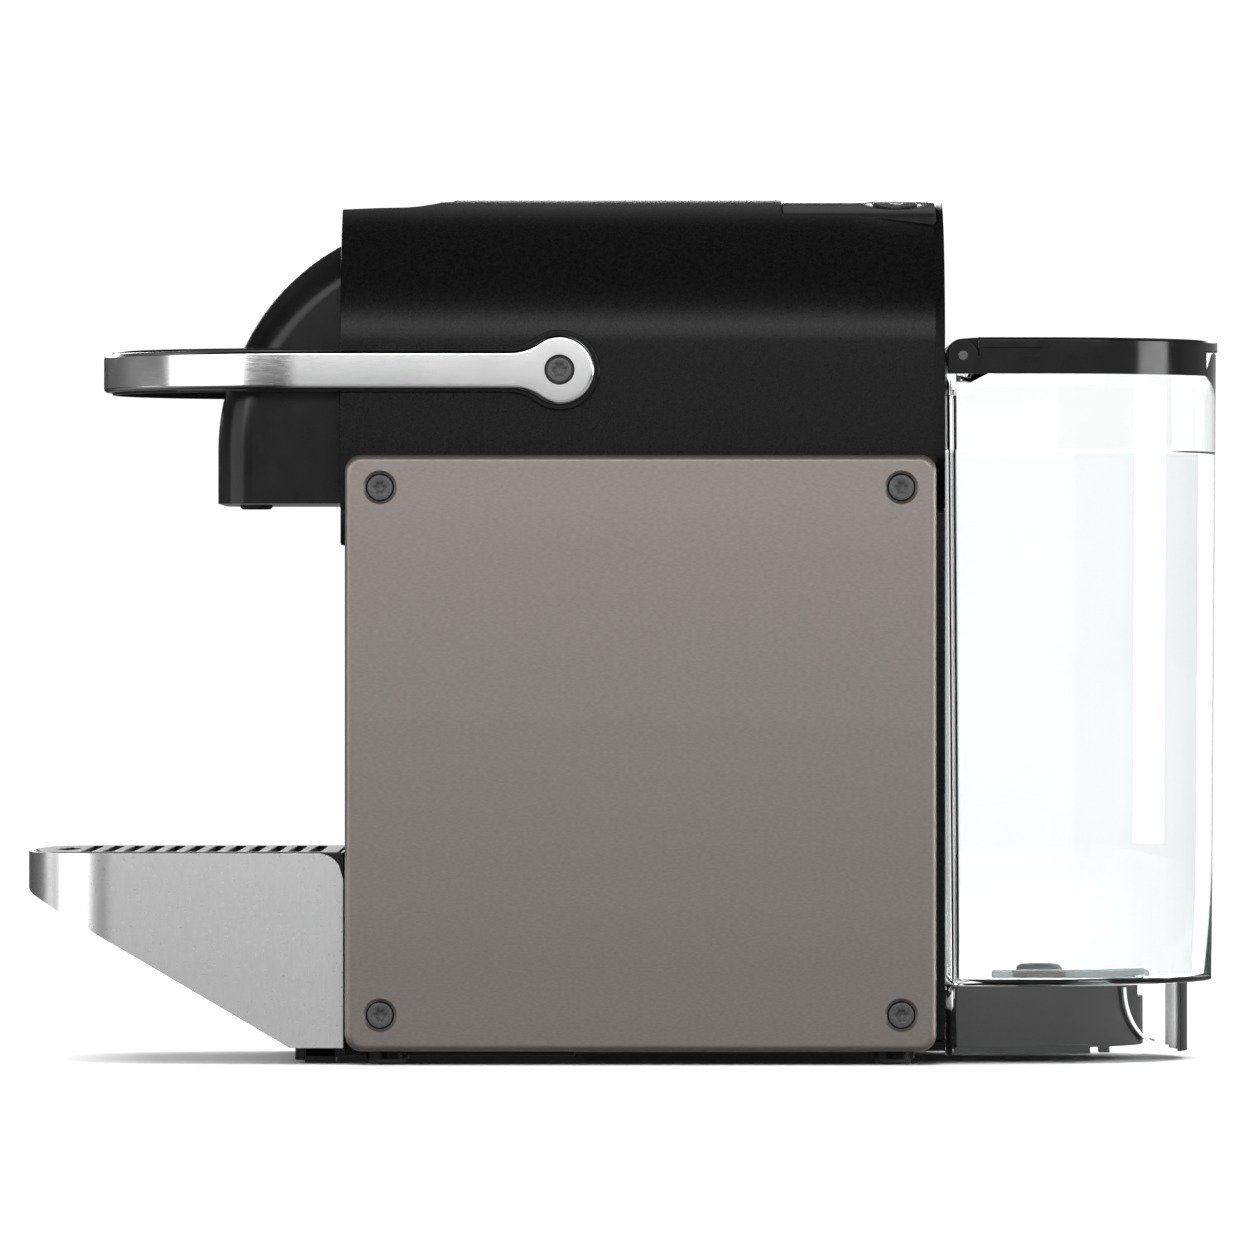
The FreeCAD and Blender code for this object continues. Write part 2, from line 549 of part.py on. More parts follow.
def make_brew_unit():
    """Frame, guide rods and extraction plate, which stay put, and the cage with its seal, blades and pins."""
    axis = ("0", "pivot_z")
    height = ("frame_low", "frame_high")
    wall = box(("-cheek_out", "cheek_out"), ("frame_front", "frame_front + frame_wall"), height)
    bar = box(("-cheek_out", "cheek_out"), ("frame_rear - frame_wall", "frame_rear"), height)
    cheeks = [box(x, ("frame_front", "frame_rear"), height)
              for x in (("cheek_in", "cheek_out"), ("-cheek_out", "-cheek_in"))]
    rod_places = [(x, "rod_z") for x in ("rod_x", "-rod_x")]
    rods = [rod("y", at, "rod_outer", "frame_front", "frame_rear") for at in rod_places]
    outlet = rod("y", axis, "outlet_bore", "frame_front - 1", "frame_front + 5")
    hubs = rod("x", ("pivot_y", "pivot_z"), "hub_outer + hub_gap", "-60", "60")
    sleeve_hole = rod("y", axis, "inlet_bore + sleeve_wall", "frame_rear - 5", "frame_rear + 1")
    node("brew_frame", cut(fuse(wall, bar, *cheeks), outlet, hubs, sleeve_hole, *rods))
    node("guide_rods", group(*[rod("y", at, "rod_outer", "frame_front", "frame_rear") for at in rod_places]))
    plate = rod("y", axis, "cage_outer - 2", "frame_front + frame_wall", "cage_front - 0.5")
    outlets = [rod("y", (f"{i} * plate_pitch", f"pivot_z + {k} * plate_pitch"), "plate_hole",
                   "frame_front + 3", "cage_front") for i in (-1, 0, 1) for k in (-1, 0, 1)]
    node("extraction_plate", cut(plate, *outlets))
    node("outlet_funnel", cut(funnel_block("0", "funnel_half"),
                              funnel_block("funnel_wall", "funnel_half - funnel_wall")))

    barrel = rod("y", axis, "cage_outer", "cage_front", "cage_rear")
    tube = rod("y", axis, "inlet_outer", "cage_rear - 1", "inlet_end")
    drive = ("pivot_y - pin_far", "pivot_z")
    both = lambda low, high: ((low, high), (f"-({high})", f"-({low})"))
    ears = [box(x, ("cage_rear - cage_ear_length", "cage_rear"), ("rod_z - 5", "rod_z + 5"))
            for x in both("10", "cage_ear")]
    bosses = [box(x, ("pivot_y - pin_far - 4", "cage_rear"), ("pivot_z - 6", "pivot_z + 6"))
              for x in both("cage_bore + 1", "cage_boss")]
    running = [rod("y", at, "rod_outer + rod_gap", "cage_front", "cage_rear + 1") for at in rod_places]
    cup = rod("y", axis, "cage_bore", "cage_front - 1", "cage_front + cage_depth")
    bore = rod("y", axis, "tube_bore", "cage_front", "inlet_end + 1")
    sockets = [rod("x", drive, "pin_outer", *ends) for ends in both("cage_bore + 0.5", "cage_boss")]
    groove, seal = [
        cut(rod("y", axis, "cage_outer - seal_out", start, "cage_front + seal_depth"),
            rod("y", axis, "cage_bore + seal_in", "cage_front - 1", "cage_front + 2"))
        for start in ("cage_front - 0.1", "cage_front")]
    node("capsule_cage", cut(fuse(barrel, tube, *ears, *bosses), cup, bore, groove, *running, *sockets))
    node("cage_seal", seal)
    blades = []
    for k in range(3):
        x = f"blade_ring * cos({120 * k + 90} deg)"
        z = f"pivot_z + blade_ring * sin({120 * k + 90} deg)"
        blades.append(cone("y", (x, z), "blade_tip", "blade_root", "cage_front + cage_depth - blade_length",
                           "cage_front + cage_depth"))
    node("piercing_blades", group(*blades))
    node("drive_pins", group(*[rod("x", drive, "pin_outer", *ends)
                               for ends in both("cage_bore + 0.5", "pin_end")]))


def cam_slot_face():
    """Spiral slot in which a drive pin runs: its radius falls evenly as the lever turns."""
    far, near, travel = size("pin_far"), size("pin_near"), math.radians(size("lever_travel"))
    half, spare = size("cam_slot"), math.radians(size("cam_spare"))
    fall = (far - near) / travel

    def spiral(turn, side):
        radius = far - fall * turn
        angle = math.pi + turn
        outward = V(0, math.cos(angle), math.sin(angle))
        tangent = V(0, -math.sin(angle), math.cos(angle)) * radius - outward * fall
        normal = V(0, tangent.z, -tangent.y).normalize()
        return V(0, size("pivot_y"), size("pivot_z")) + outward * radius + normal * (half * side)

    def heading(turn):
        return (spiral(turn + 0.001, 0) - spiral(turn - 0.001, 0)).normalize()

    steps = 12
    turns = [-spare + (travel + 2 * spare) * k / steps for k in range(steps + 1)]
    curves = []
    for side in (1, -1):
        curve = Part.BSplineCurve()
        curve.interpolate([spiral(turn, side) for turn in turns])
        curves.append(curve.toShape())
    first, last = turns[0], turns[-1]
    caps = [
        Part.Arc(spiral(first, 1), spiral(first, 0) - heading(first) * half, spiral(first, -1)).toShape(),
        Part.Arc(spiral(last, 1), spiral(last, 0) + heading(last) * half, spiral(last, -1)).toShape(),
    ]
    return Part.Face(Part.Wire(Part.__sortEdges__(curves + caps)))


def make_lever():
    """U-shaped lever in two layers, the screws of its eyes, and the cam discs that its hubs turn."""
    pivot = ("pivot_y", "pivot_z")

    def band(outer, inner, height):
        low, high = f"pivot_z - {height}/2", f"pivot_z + {height}/2"
        solids = []
        for half, back in ((outer, "pivot_y"), (inner, "pivot_y + 1")):
            solids.append(prism("xy", [
                (f"-({half})", "lever_centre", half, True), ("0", f"lever_centre - ({half})", half, True),
                (half, "lever_centre"), (half, back), (f"-({half})", back),
            ], low, high, label="lever_band"))
        on_tip(solids[0], "Chamfer", "lever_bevel",
               lambda e: not runs_along(e, "z") and abs(middle(e).y - size("pivot_y")) > 0.01)
        return cut(*solids)

    skin_in, liner_in = "(lever_outer - lever_skin)", "(lever_outer - lever_skin - liner_wall)"
    eyes = [rod("x", pivot, "eye_outer", *ends)
            for ends in ((skin_in, "lever_outer"), ("-lever_outer", f"-{skin_in}"))]
    bore = rod("x", pivot, "eye_bore", "-60", "60")
    node("lever", cut(fuse(band("lever_outer", skin_in, "lever_height"), *eyes), bore))
    discs = [rod("x", pivot, "liner_eye", *ends)
             for ends in ((liner_in, skin_in), (f"-{skin_in}", f"-{liner_in}"))]
    node("lever_liner", cut(fuse(band(skin_in, liner_in, "liner_height"), *discs),
                            rod("x", pivot, "lever_screw", "-60", "60")))
    head = rod("x", pivot, "screw_head", skin_in, "lever_outer - 0.5")
    recess = rod("x", pivot, "lever_recess", "lever_outer - 2", "lever_outer")
    screw = fuse(cut(head, recess), rod("x", pivot, "lever_screw", "cheek_out", skin_in))
    node("lever_screws", group(screw, mirrored(screw)))
    slot = cam_slot_face()
    slot.translate(V(size("cam_in") - 1, 0, 0))
    slot = feature(slot.extrude(V(size("cam_out - cam_in") + 2, 0, 0)), "cam_slot")
    disc = cut(rod("x", pivot, "cam_outer", "cam_in", "cam_out"), slot)
    hub = cut(rod("x", pivot, "hub_outer", "cam_out", liner_in),
              rod("x", pivot, "lever_screw", "cheek_out", "60"))
    disc = fuse(disc, hub)
    node("cam_discs", group(disc, mirrored(disc)))


def make_shutter():
    """Sliding shutter under the capsule slot, with a finger rib."""
    leaf = box(("-shutter_half", "shutter_half"), ("slot_front - 0.4", "slot_rear + 1.2"),
               ("shutter_bottom", "shutter_top"))
    rib = box(("-shutter_rib", "shutter_rib"), ("slot_rear + 0.2", "slot_rear + 1.2"),
              ("shutter_bottom - 3", "shutter_bottom"))
    node("slot_shutter", fuse(leaf, rib))


# ---------------------------------------------------------------- drip unit
def tray_outline(inset, rear):
    """Plan of the drip tray on the xy plane: straight sides, rounded front corners, slightly bowed front."""
    half, front, corner = f"(tray_half - ({inset}))", f"(tray_front + {inset})", f"(tray_corner - ({inset}))"
    return [
        (f"-{half}", rear), (f"-{half}", f"{front} + {corner}", corner, True),
        (f"-({half} - {corner})", front, f"tray_bow - ({inset})", True),
        (f"{half} - {corner}", front, corner, True), (half, f"{front} + {corner}"), (half, rear),
    ]


def tray_profile(inset, rear, top):
    """Side view of the drip tray on the yz plane: upright lip, sloping underside and flat heel."""
    return [
        (rear, f"tray_bottom + {inset}"), (rear, top), ("tray_front - 4", top),
        ("tray_front - 4", f"tray_lip + 0.6 * ({inset})"),
        (f"tray_front + 0.5 * ({inset})", f"tray_lip + 0.6 * ({inset})"),
        (f"tray_heel + 0.27 * ({inset})", f"tray_bottom + {inset}"),
    ]


def tray_block(inset, rear, top):
    plan = prism("xy", tray_outline(inset, rear), "0", "tray_top + 10", label="tray_plan")
    side = prism("yz", tray_profile(inset, rear, top), "-60", "60", label="tray_side")
    return common(plan, side)


def make_drip_unit():
    """Sliding unit: tray with its silver cover and lift-out grid, base, and capsule container."""
    skin = cut(tray_block("0", "tray_rear", "tray_top"),
               tray_block("tray_skin", "tray_rear + 5", "tray_top + 5"))
    skin = rounded(skin, "tray_round", lambda e: runs_along(e, "x") and
                   abs(middle(e).y - size("tray_rear")) < 0.01 and abs(middle(e).z - size("tray_top")) < 0.01)
    node("drip_tray_cover", skin)
    tray = tray_block("tray_skin", "tray_rear", "tray_top + 0.1")
    basin = tray_block("tray_skin + tray_wall", "tray_rear - tray_wall", "tray_top + 5")
    rebate = prism("xy", tray_outline("tray_skin + 0.8", "tray_rear - 0.8"), "grid_bottom", "grid_top + 5")
    node("drip_tray", cut(tray, basin, rebate))

    through = ("grid_bottom - 1", "grid_top + 1")
    grid = prism("xy", tray_outline("tray_skin + 1.2", "tray_rear - 1.2"), "grid_bottom", "grid_top",
                 label="grid")
    slots = []
    for k in range(12):
        centre = f"tray_rear - grid_first - {k} * grid_pitch"
        slots.append(box(("-grid_half", "grid_half"), (f"{centre} - grid_slot/2", f"{centre} + grid_slot/2"),
                         through))
    corners = [(x, "mouth_y", "mouth_arc", True) for x in ("-mouth_half", "mouth_half")]
    mouth = prism("xy", corners, *through, label="grid_mouth")
    node("drip_grid", cut(grid, mouth, *slots))

    tongue = box(("-base_half", "base_half"), ("tray_rear + 0.2", "box_rear"), ("base_bottom", "box_bottom"))
    sill = box(("-sill_half", "sill_half"), ("sill_front", "tray_rear + 0.2"), ("base_bottom", "tray_bottom"))
    blocks = [box(x, ("sill_front", "block_back"), ("0", "tray_bottom"))
              for x in (("block_inner", "sill_half"), ("-sill_half", "-block_inner"))]
    hook = box(("-sill_half", "sill_half"), ("hook_front", "sill_front"), ("hook_bottom", "tray_bottom"))
    node("drip_base", fuse(tongue, sill, hook, *blocks))

    bin_outer = box(("-box_half", "box_half"), ("box_front", "box_rear"), ("box_bottom", "box_top"))
    bin_outer = rounded(bin_outer, "box_corner", lambda e: runs_along(e, "z"))
    bin_inner = box(("-(box_half - box_wall)", "box_half - box_wall"),
                    ("box_front + box_wall", "box_rear - box_wall"), ("box_bottom + box_wall", "box_top + 5"))
    bin_inner = rounded(bin_inner, "box_corner - 1.5", lambda e: runs_along(e, "z"))
    face = box(("-frame_out", "frame_out"), ("box_front", "frame_edge - 0.4"), ("box_bottom", "box_top"))
    node("capsule_container", cut(fuse(bin_outer, face), bin_inner))


# ---------------------------------------------------------------- water tank and pedestal
def make_tank():
    """Clear tank with its hinge ears and skirt, the lid with its pins, and the foot valve."""
    draft = "((tank_top - tank_bottom) * tan(tank_taper * 1 deg))"
    base_half = f"(tank_half - {draft})"
    front = f"tank_front + {draft}"
    outer = prism("xy", d_outline(base_half, front, "tank_centre"), "tank_bottom", "tank_top",
                  taper="tank_taper * 1 deg", label="tank_outer")
    inner = prism("xy", d_outline(f"{base_half} - tank_wall", f"{front} + tank_wall", "tank_centre"),
                  "tank_floor", "tank_top + 5", taper="tank_taper * 1 deg", label="tank_inner")
    hinge = ("hinge_y", "hinge_z")
    step = box(("-60", "60"), ("tank_front - 1", "hinge_y + knuckle + 0.4"), ("tank_step", "tank_top + 5"))
    wall_in = "(tank_half - tank_wall)"
    ears = []
    for low, high in ((wall_in, "tank_half"), ("-tank_half", f"-{wall_in}")):
        ears.append(rod("x", hinge, "ear", low, high))
        ears.append(box((low, high), ("hinge_y - ear", "hinge_y + knuckle + 2"), ("tank_step - 3", "hinge_z")))
    valve_hole = rod("z", ("0", "valve_y"), "valve_hole", "tank_bottom - 1", "tank_floor + 1")
    shell = fuse(cut(cut(outer, step), inner), *ears)
    pin_holes = rod("x", hinge, "hinge_pin", "-60", "60")
    ribs = [box(x, ("rib_front", "rib_back"), ("tank_floor", "tank_floor + rib_height"))
            for x in (("rib_in", "rib_out"), ("-rib_out", "-rib_in"))]
    node("water_tank", fuse(cut(shell, valve_hole, pin_holes), *ribs))
    skirt = prism("xy", d_outline("skirt_half", "tank_front", "tank_centre"), "skirt_bottom", "tank_bottom")
    under = prism("xy", d_outline("skirt_half - skirt_wall", "tank_front - 2", "tank_centre"), "0", "tank_top")
    node("tank_skirt", cut(skirt, under))
    pins = [rod("x", hinge, "hinge_pin", *ends)
            for ends in ((f"{wall_in} - pin_grip", "tank_half"), ("-tank_half", f"-({wall_in} - pin_grip)"))]
    node("lid_hinge_pins", group(*pins))

    plate = prism("xy", d_outline("lid_half", "lid_seam", "tank_centre"), "tank_top + 0.3", "lid_top",
                  label="lid_plate")
    on_tip(plate, "Chamfer", "lid_edge", lambda e: abs(middle(e).z - size("lid_top")) < 0.01
           and middle(e).y > size("lid_seam") + 0.1)
    inner_half = f"({wall_in} - 0.6)"
    bridge = box((f"-{inner_half}", inner_half), ("hinge_y", "lid_seam + 3"),
                 ("tank_top + 0.3", "hinge_z + knuckle"))
    barrel = rod("x", hinge, "knuckle", f"-{inner_half}", inner_half)
    plug_out = prism("xy", d_outline(f"{inner_half} - 0.6", "hinge_y + 1", "tank_centre"), "tank_step",
                     "tank_top + 0.5")
    plug_room = d_outline(f"{inner_half} - tank_wall", "hinge_y + 8", "tank_centre")
    plug_in = prism("xy", plug_room, "tank_step - 1", "tank_top + 0.3")
    bores = rod("x", hinge, "hinge_pin + pin_gap", "-60", "60")
    node("tank_lid", cut(fuse(plate, bridge, barrel, cut(plug_out, plug_in)), bores))

    at = ("0", "valve_y")
    flange = rod("z", at, "flange_outer", "tank_floor", "tank_floor + 1.1")
    housing = fuse(flange, rod("z", at, "housing_outer", "housing_low", "housing_high"))
    chamber = rod("z", at, "chamber", "chamber_low", "chamber_high")
    throat = rod("z", at, "throat", "housing_low - 1", "chamber_low + 0.8")
    window = box(("-1.2", "1.2"), ("valve_y - 6", "valve_y + 6"), ("seal_high + 0.2", "seal_high + 1"))
    node("valve_housing", cut(housing, chamber, throat, window))
    node("valve_seal", cut(rod("z", at, "seal_ring", "seal_low", "seal_high"),
                           rod("z", at, "housing_outer", "seal_low - 1", "seal_high + 1")))
    node("tank_valve", fuse(rod("z", at, "stem_outer", "stem_low", "stem_high"),
                            rod("z", at, "valve_outer", "stem_high", "valve_top")))
    strip = size("spring_strip")
    start = V(0, size("valve_y"), size("valve_top") + 0.1 + strip / 2)
    rise = size("chamber_high") - 0.1 - strip / 2 - start.z
    node("valve_spring", coil(start, V(0, 0, 1), size("spring_radius"), strip, rise, 2, round_wire=False))


def make_pedestal():
    """Hollow pedestal with two rests for the tank, and the water inlet that reaches up to the tank's valve."""
    outline = d_outline("stand_half", "body_rear", "stand_rear - stand_half")
    hollow = d_outline("stand_half - stand_wall", "body_rear", "stand_rear - stand_half")
    ceiling = "stand_deck - stand_wall"
    at = ("0", "valve_y")
    stand = prism("xy", outline, "stand_bottom", "stand_deck", label="stand")
    inside = prism("xy", hollow, "stand_bottom - 1", ceiling, label="stand_hollow")
    front = box(("-(stand_half - stand_wall)", "stand_half - stand_wall"), ("body_rear - 1", "body_rear + 4"),
                ("0", ceiling))
    feet = [box(x, ("stand_foot_front", "stand_foot_back"), ("stand_foot_low", "stand_bottom + 1"))
            for x in (("stand_foot_in", "stand_foot_out"), ("-stand_foot_out", "-stand_foot_in"))]
    feet = [common(foot, prism("xy", outline, "0", "stand_deck")) for foot in feet]
    seat = rod("z", at, "well_bore", "well_floor", "stand_deck + 1")
    well = cut(rod("z", at, "well_outer", "well_low", "well_top"),
               rod("z", at, "well_bore", "well_floor", "well_top + 1"))
    through = rod("z", at, "spigot_outer", "well_low - 1", "well_floor + 1")
    node("tank_pedestal", cut(fuse(cut(stand, inside, front), well, *feet), seat, through))
    rests = [common(prism("xy", outline, "stand_deck", "stand_top"),
                    box(x, ("body_rear", "stand_rear"), ("stand_deck", "stand_top")))
             for x in (("rest_in", "stand_half"), ("-stand_half", "-rest_in"))]
    node("tank_rests", group(*rests))
    spigot = fuse(rod("z", at, "spigot_outer", "hose_z - 4.4", "spigot_step"),
                  rod("z", at, "spigot_tip", "spigot_step", "spigot_top"),
                  rod("y", ("0", "hose_z"), "hose_bore", "valve_y - 9", "valve_y"))
    port = rod("y", ("0", "hose_z"), "water_bore", "valve_y - 10", "valve_y")
    node("tank_spigot", cut(spigot, rod("z", at, "water_bore", "hose_z", "spigot_top + 1"), port))
    node("spigot_seal", cut(rod("z", at, "spigot_seal", "well_floor", "stand_deck"),
                            rod("z", at, "spigot_outer", "well_floor - 1", "stand_deck + 1")))


# ---------------------------------------------------------------- control panel
def make_controls():
    """Recessed control panel that follows the housing's curve, and its two round buttons."""
    region = box(("-deck_half", "deck_half"), ("deck_front", "deck_rear"), ("ceiling_z - 6", "cover_top + 1"))
    lower_inset = "(deck_recess + deck_wall)"
    skin = cut(prism("xz", cover_outline("deck_recess", "cover_bottom"), "-90", "-30", label="deck_skin"),
               prism("xz", cover_outline(lower_inset, "cover_bottom - 5"), "-95", "-25", label="deck_under"))
    holes = [rod("z", (x, "key_y"), "key_outer + key_gap", "ceiling_z - 8", "cover_top + 1")
             for x in ("key_x", "-key_x")]
    walls = cut(box(("-deck_half", "deck_half"), ("deck_front", "deck_rear"),
                    ("ceiling_z - deck_wall", "cover_top - 5")),
                box(("-(deck_half - deck_rim)", "deck_half - deck_rim"),
                    ("deck_front + deck_rim", "deck_rear - deck_rim"), ("ceiling_z - 3", "cover_top")))
    node("control_panel", cut(fuse(common(skin, region), walls), *holes))
    for name, side in (("lungo_button", ""), ("espresso_button", "-")):
        stem = rod("z", (f"{side}key_x", "key_y"), "key_outer", "ceiling_z - 1", "cover_top")
        crown = prism("xz", cover_outline("0.1", "cover_bottom"), "-90", "-60", label="key_crown")
        node(name, common(stem, crown))


# ---------------------------------------------------------------- water circuit and electronics
def coil(start, direction, radius, thickness, height, turns, round_wire=True):
    """A helical spring standing on start, swept from a round wire or a square strip."""
    helix = Part.makeHelix(height / turns, height, radius)
    half = thickness / 2
    if round_wire:
        section = Part.Wire([Part.Circle(V(radius, 0, 0), V(0, 1, 0), half).toShape()])
    else:
        square = ((-1, -1), (1, -1), (1, 1), (-1, 1), (-1, -1))
        corners = [V(radius + x * half, 0, z * half) for x, z in square]
        section = Part.makePolygon(corners)
    item = feature(Part.Wire(helix).makePipeShell([section], True, True), "coil")
    item.Placement = FreeCAD.Placement(start, FreeCAD.Rotation(V(0, 0, 1), direction))
    return item


def hose(corners, bend):
    """A hose along corners given as expressions, checked against its wall's section times its length."""
    points = [V(*[size(c) for c in corner]) for corner in corners]
    outer, bore = size("hose_outer"), size("hose_bore")
    item = feature(tube_along(points, bend, outer, bore), "hose")
    straight = sum((b - a).Length for a, b in zip(points, points[1:]))
    if not 0.8 < item.Shape.Volume / (math.pi * (outer ** 2 - bore ** 2) * straight) < 1.01:
        raise RuntimeError("a hose's volume doesn't match its section and length")
    return item


def make_pump():
    """Vibration pump in its two rubber mounts, with its piston, spring and hose fittings."""
    at = ("pump_x", "pump_z")
    coil_y = ("pump_front + 14", "pump_rear - 24")
    body = fuse(rod("y", at, "pump_outer", "pump_front + 8", "pump_rear - 12"),
                rod("y", at, "pump_neck", "pump_front", "pump_rear"))
    coil_x = ("pump_x - coil_half - 2", "pump_x + coil_half")
    core = box(coil_x, coil_y, ("pump_z - coil_height", "pump_z + coil_height"))
    bore = rod("y", at, "pump_bore", "pump_front + 2", "pump_rear - 2")
    ports = rod("y", at, "water_bore", "pump_front - 1", "pump_rear + 1")
    node("pump_body", cut(fuse(body, core), bore, ports))
    piston = fuse(rod("y", at, "pump_bore - piston_gap", "pump_front + 22", "pump_rear - 22"),
                  rod("y", at, "piston_nose", "pump_front + 10", "pump_rear - 22"))
    node("pump_piston", piston)
    spring_start = V(size("pump_x"), size("pump_rear") - 21.4, size("pump_z"))
    node("pump_spring", coil(spring_start, V(0, 1, 0), size("pump_spring_radius"), 2 * size("spring_wire"),
                             size("pump_spring_length"), 7))
    fittings = []
    for low, high in (("pump_front - fitting", "pump_front"), ("pump_rear", "pump_rear + fitting")):
        fittings.append(cut(rod("y", at, "hose_bore", low, high),
                            rod("y", at, "water_bore", f"{low} - 1", f"{high} + 1")))
    barb = ("pump_x", "block_inlet")
    fittings.append(cut(rod("z", barb, "hose_bore", "block_low - fitting", "block_low"),
                        rod("z", barb, "water_bore", "block_low - fitting - 1", "block_low + 1")))
    node("hose_fittings", group(*fittings))
    saddle = rod("y", at, "pump_outer", "pump_front", "pump_rear")
    core_room = box(coil_x, coil_y, ("pump_z - coil_height", "pump_z"))
    mounts = []
    for y in ("mount_front", "mount_back"):
        leg = box(("pump_x - mount_half", "pump_x + mount_half"), (y, f"{y} + mount_width"),
                  ("pan_top", "pump_z - pump_neck"))
        mounts.append(cut(leg, saddle, core_room) if y == "mount_back" else cut(leg, saddle))
    node("pump_mounts", group(*mounts))


def make_flow_meter():
    """Flow meter: round cup with its inlet and outlet, cap, and a rotor with six vanes."""
    at = ("meter_x", "meter_y")
    outlet_at = ("meter_x", "pump_z")
    cup = cut(rod("z", at, "meter_outer", "meter_z", "meter_z + meter_height"),
              rod("z", at, "meter_outer - meter_wall", "meter_z + 2", "meter_z + meter_height + 1"))
    pin = rod("z", at, "1", "meter_z + 1", "meter_z + meter_height - 1")
    inlet = rod("z", at, "hose_bore", "meter_z - 5", "meter_z + 1")
    wall = "meter_y + meter_outer"
    outlet = rod("y", outlet_at, "hose_bore", f"{wall} - 1", f"{wall} + meter_barb")
    bores = [rod("z", ("meter_x + 2.8", "meter_y"), "1.2", "meter_z", "meter_z + 3"),
             rod("y", outlet_at, "water_bore", "meter_y + meter_outer - 4", "meter_y + meter_outer + 6"),
             rod("z", at, "water_bore", "meter_z - 6", "meter_z + 0.5")]
    node("flow_meter_body", fuse(cut(fuse(cup, inlet, outlet), *bores), pin))
    cap_low, cap_high = "meter_z + meter_height", "meter_z + meter_height + meter_lid"
    node("flow_meter_cap", cut(rod("z", at, "meter_outer", cap_low, cap_high),
                               rod("z", at, "0.6", f"{cap_low} - 1", f"{cap_high} + 1")))
    hub = rod("z", at, "rotor_hub", "meter_z + 2.6", "meter_z + 9.4")
    vanes = []
    for k in range(3):
        vane = tested(box(("-rotor_tip", "rotor_tip"), ("-vane_half", "vane_half"),
                          ("meter_z + 3", "meter_z + 9")))
        shape = vane.Shape.copy()
        shape.rotate(V(), V(0, 0, 1), 60 * k)
        shape.translate(V(size("meter_x"), size("meter_y"), 0))
        vanes.append(feature(shape, "vane"))
    node("flow_meter_rotor", cut(fuse(hub, *vanes), rod("z", at, "1.05", "meter_z", "meter_z + 12")))


def make_heater():
    """Heating block behind the brew frame, with its thermostats, fuse and the sleeve of the cage's tube."""
    axis = ("0", "pivot_z")
    block = box(("-block_half", "block_half"), ("block_front", "block_rear"), ("block_low", "block_high"))
    crest = rod("y", axis, "outlet_bore", "block_front", "block_front + 14")
    grooves = []
    for k in range(4):
        low = f"groove_first + {k} * groove_pitch"
        grooves.append(box(("-(block_half + 1)", "block_half + 1"), (low, f"{low} + groove_width"),
                           ("block_high - groove_depth", "block_high + 1")))
    bore = rod("y", axis, "inlet_bore", "block_front - 1", "block_front + 12")
    port = rod("z", ("pump_x", "block_inlet"), "water_bore", "block_low - 1", "block_low + 10")
    node("thermoblock", cut(fuse(cut(block, *grooves), crest), bore, port))
    node("water_sleeve", cut(rod("y", axis, "inlet_bore + sleeve_wall", "inlet_end - 6", "block_front"),
                             rod("y", axis, "inlet_bore", "inlet_end - 8", "block_front + 1")))
    caps = [fuse(rod("y", (x, "sensor_z"), "sensor_outer", "block_rear", "block_rear + 3"),
                 rod("y", (x, "sensor_z"), "sensor_cap", "block_rear + 3", "block_rear + 5"))
            for x in ("-2 * sensor_outer", "6")]
    node("heater_sensors", group(*caps, rod("z", ("fuse_x", "block_rear + 2"), "2", "fuse_low", "fuse_high")))


def make_electronics():
    """Circuit board on the right-hand side and the tallest parts on it: four blocks and three capacitors."""
    node("circuit_board", box(("board_in", "board_out"), ("board_front", "board_rear"),
                              ("board_low", "board_high")))
    blocks = [("6", "6", 24, 20, 9), ("36", "8", 12, 12, 8), ("54", "6", 16, 22, 7), ("8", "36", 10, 16, 6)]
    cans = [("30", "46", "5", 9), ("44", "46", "4", 8), ("58", "46", "4", 8)]
    parts = []
    for y, z, width, height, depth in blocks:
        low_y, low_z = f"board_front + {y}", f"board_low + {z}"
        parts.append(box((f"board_in - {depth}", "board_in"), (low_y, f"{low_y} + {width}"),
                         (low_z, f"{low_z} + {height}")))
    for y, z, radius, depth in cans:
        at = (f"board_front + {y}", f"board_low + {z}")
        parts.append(rod("x", at, radius, f"board_in - {depth}", "board_in"))
    node("board_components", group(*parts))


def make_hoses():
    """The three hoses: from the tank to the flow meter, on to the pump, and up to the heating block."""
    outlet = "meter_y + meter_outer"
    suction = hose([("0", "valve_y - 4.4", "hose_z"), ("0", "meter_y + 22", "hose_z"),
                    ("meter_x", "meter_y", "hose_z"), ("meter_x", "meter_y", "meter_z")], 9)
    link = hose([("meter_x", outlet, "pump_z"), ("meter_x", f"{outlet} + 7", "pump_z"),
                 ("pump_x", "pump_rear + 11", "pump_z"), ("pump_x", "pump_rear", "pump_z")], 4.5)
    pressure = hose([("pump_x", "pump_front", "pump_z"), ("pump_x", "hose_turn_y", "pump_z"),
                     ("pump_x", "hose_turn_y", "hose_rise_z"), ("pump_x", "block_inlet", "hose_rise_z"),
                     ("pump_x", "block_inlet", "block_low")], 6)
    node("water_hoses", group(suction, link, pressure))


# ---------------------------------------------------------------- the machine
cover = make_top_cover()
pan = make_base()
make_panels(cover, make_frames(pan))
make_rear_cover()
make_head()
make_brew_unit()
make_lever()
make_shutter()
make_drip_unit()
make_tank()
make_pedestal()
make_controls()
make_pump()
make_flow_meter()
make_heater()
make_electronics()
make_hoses()

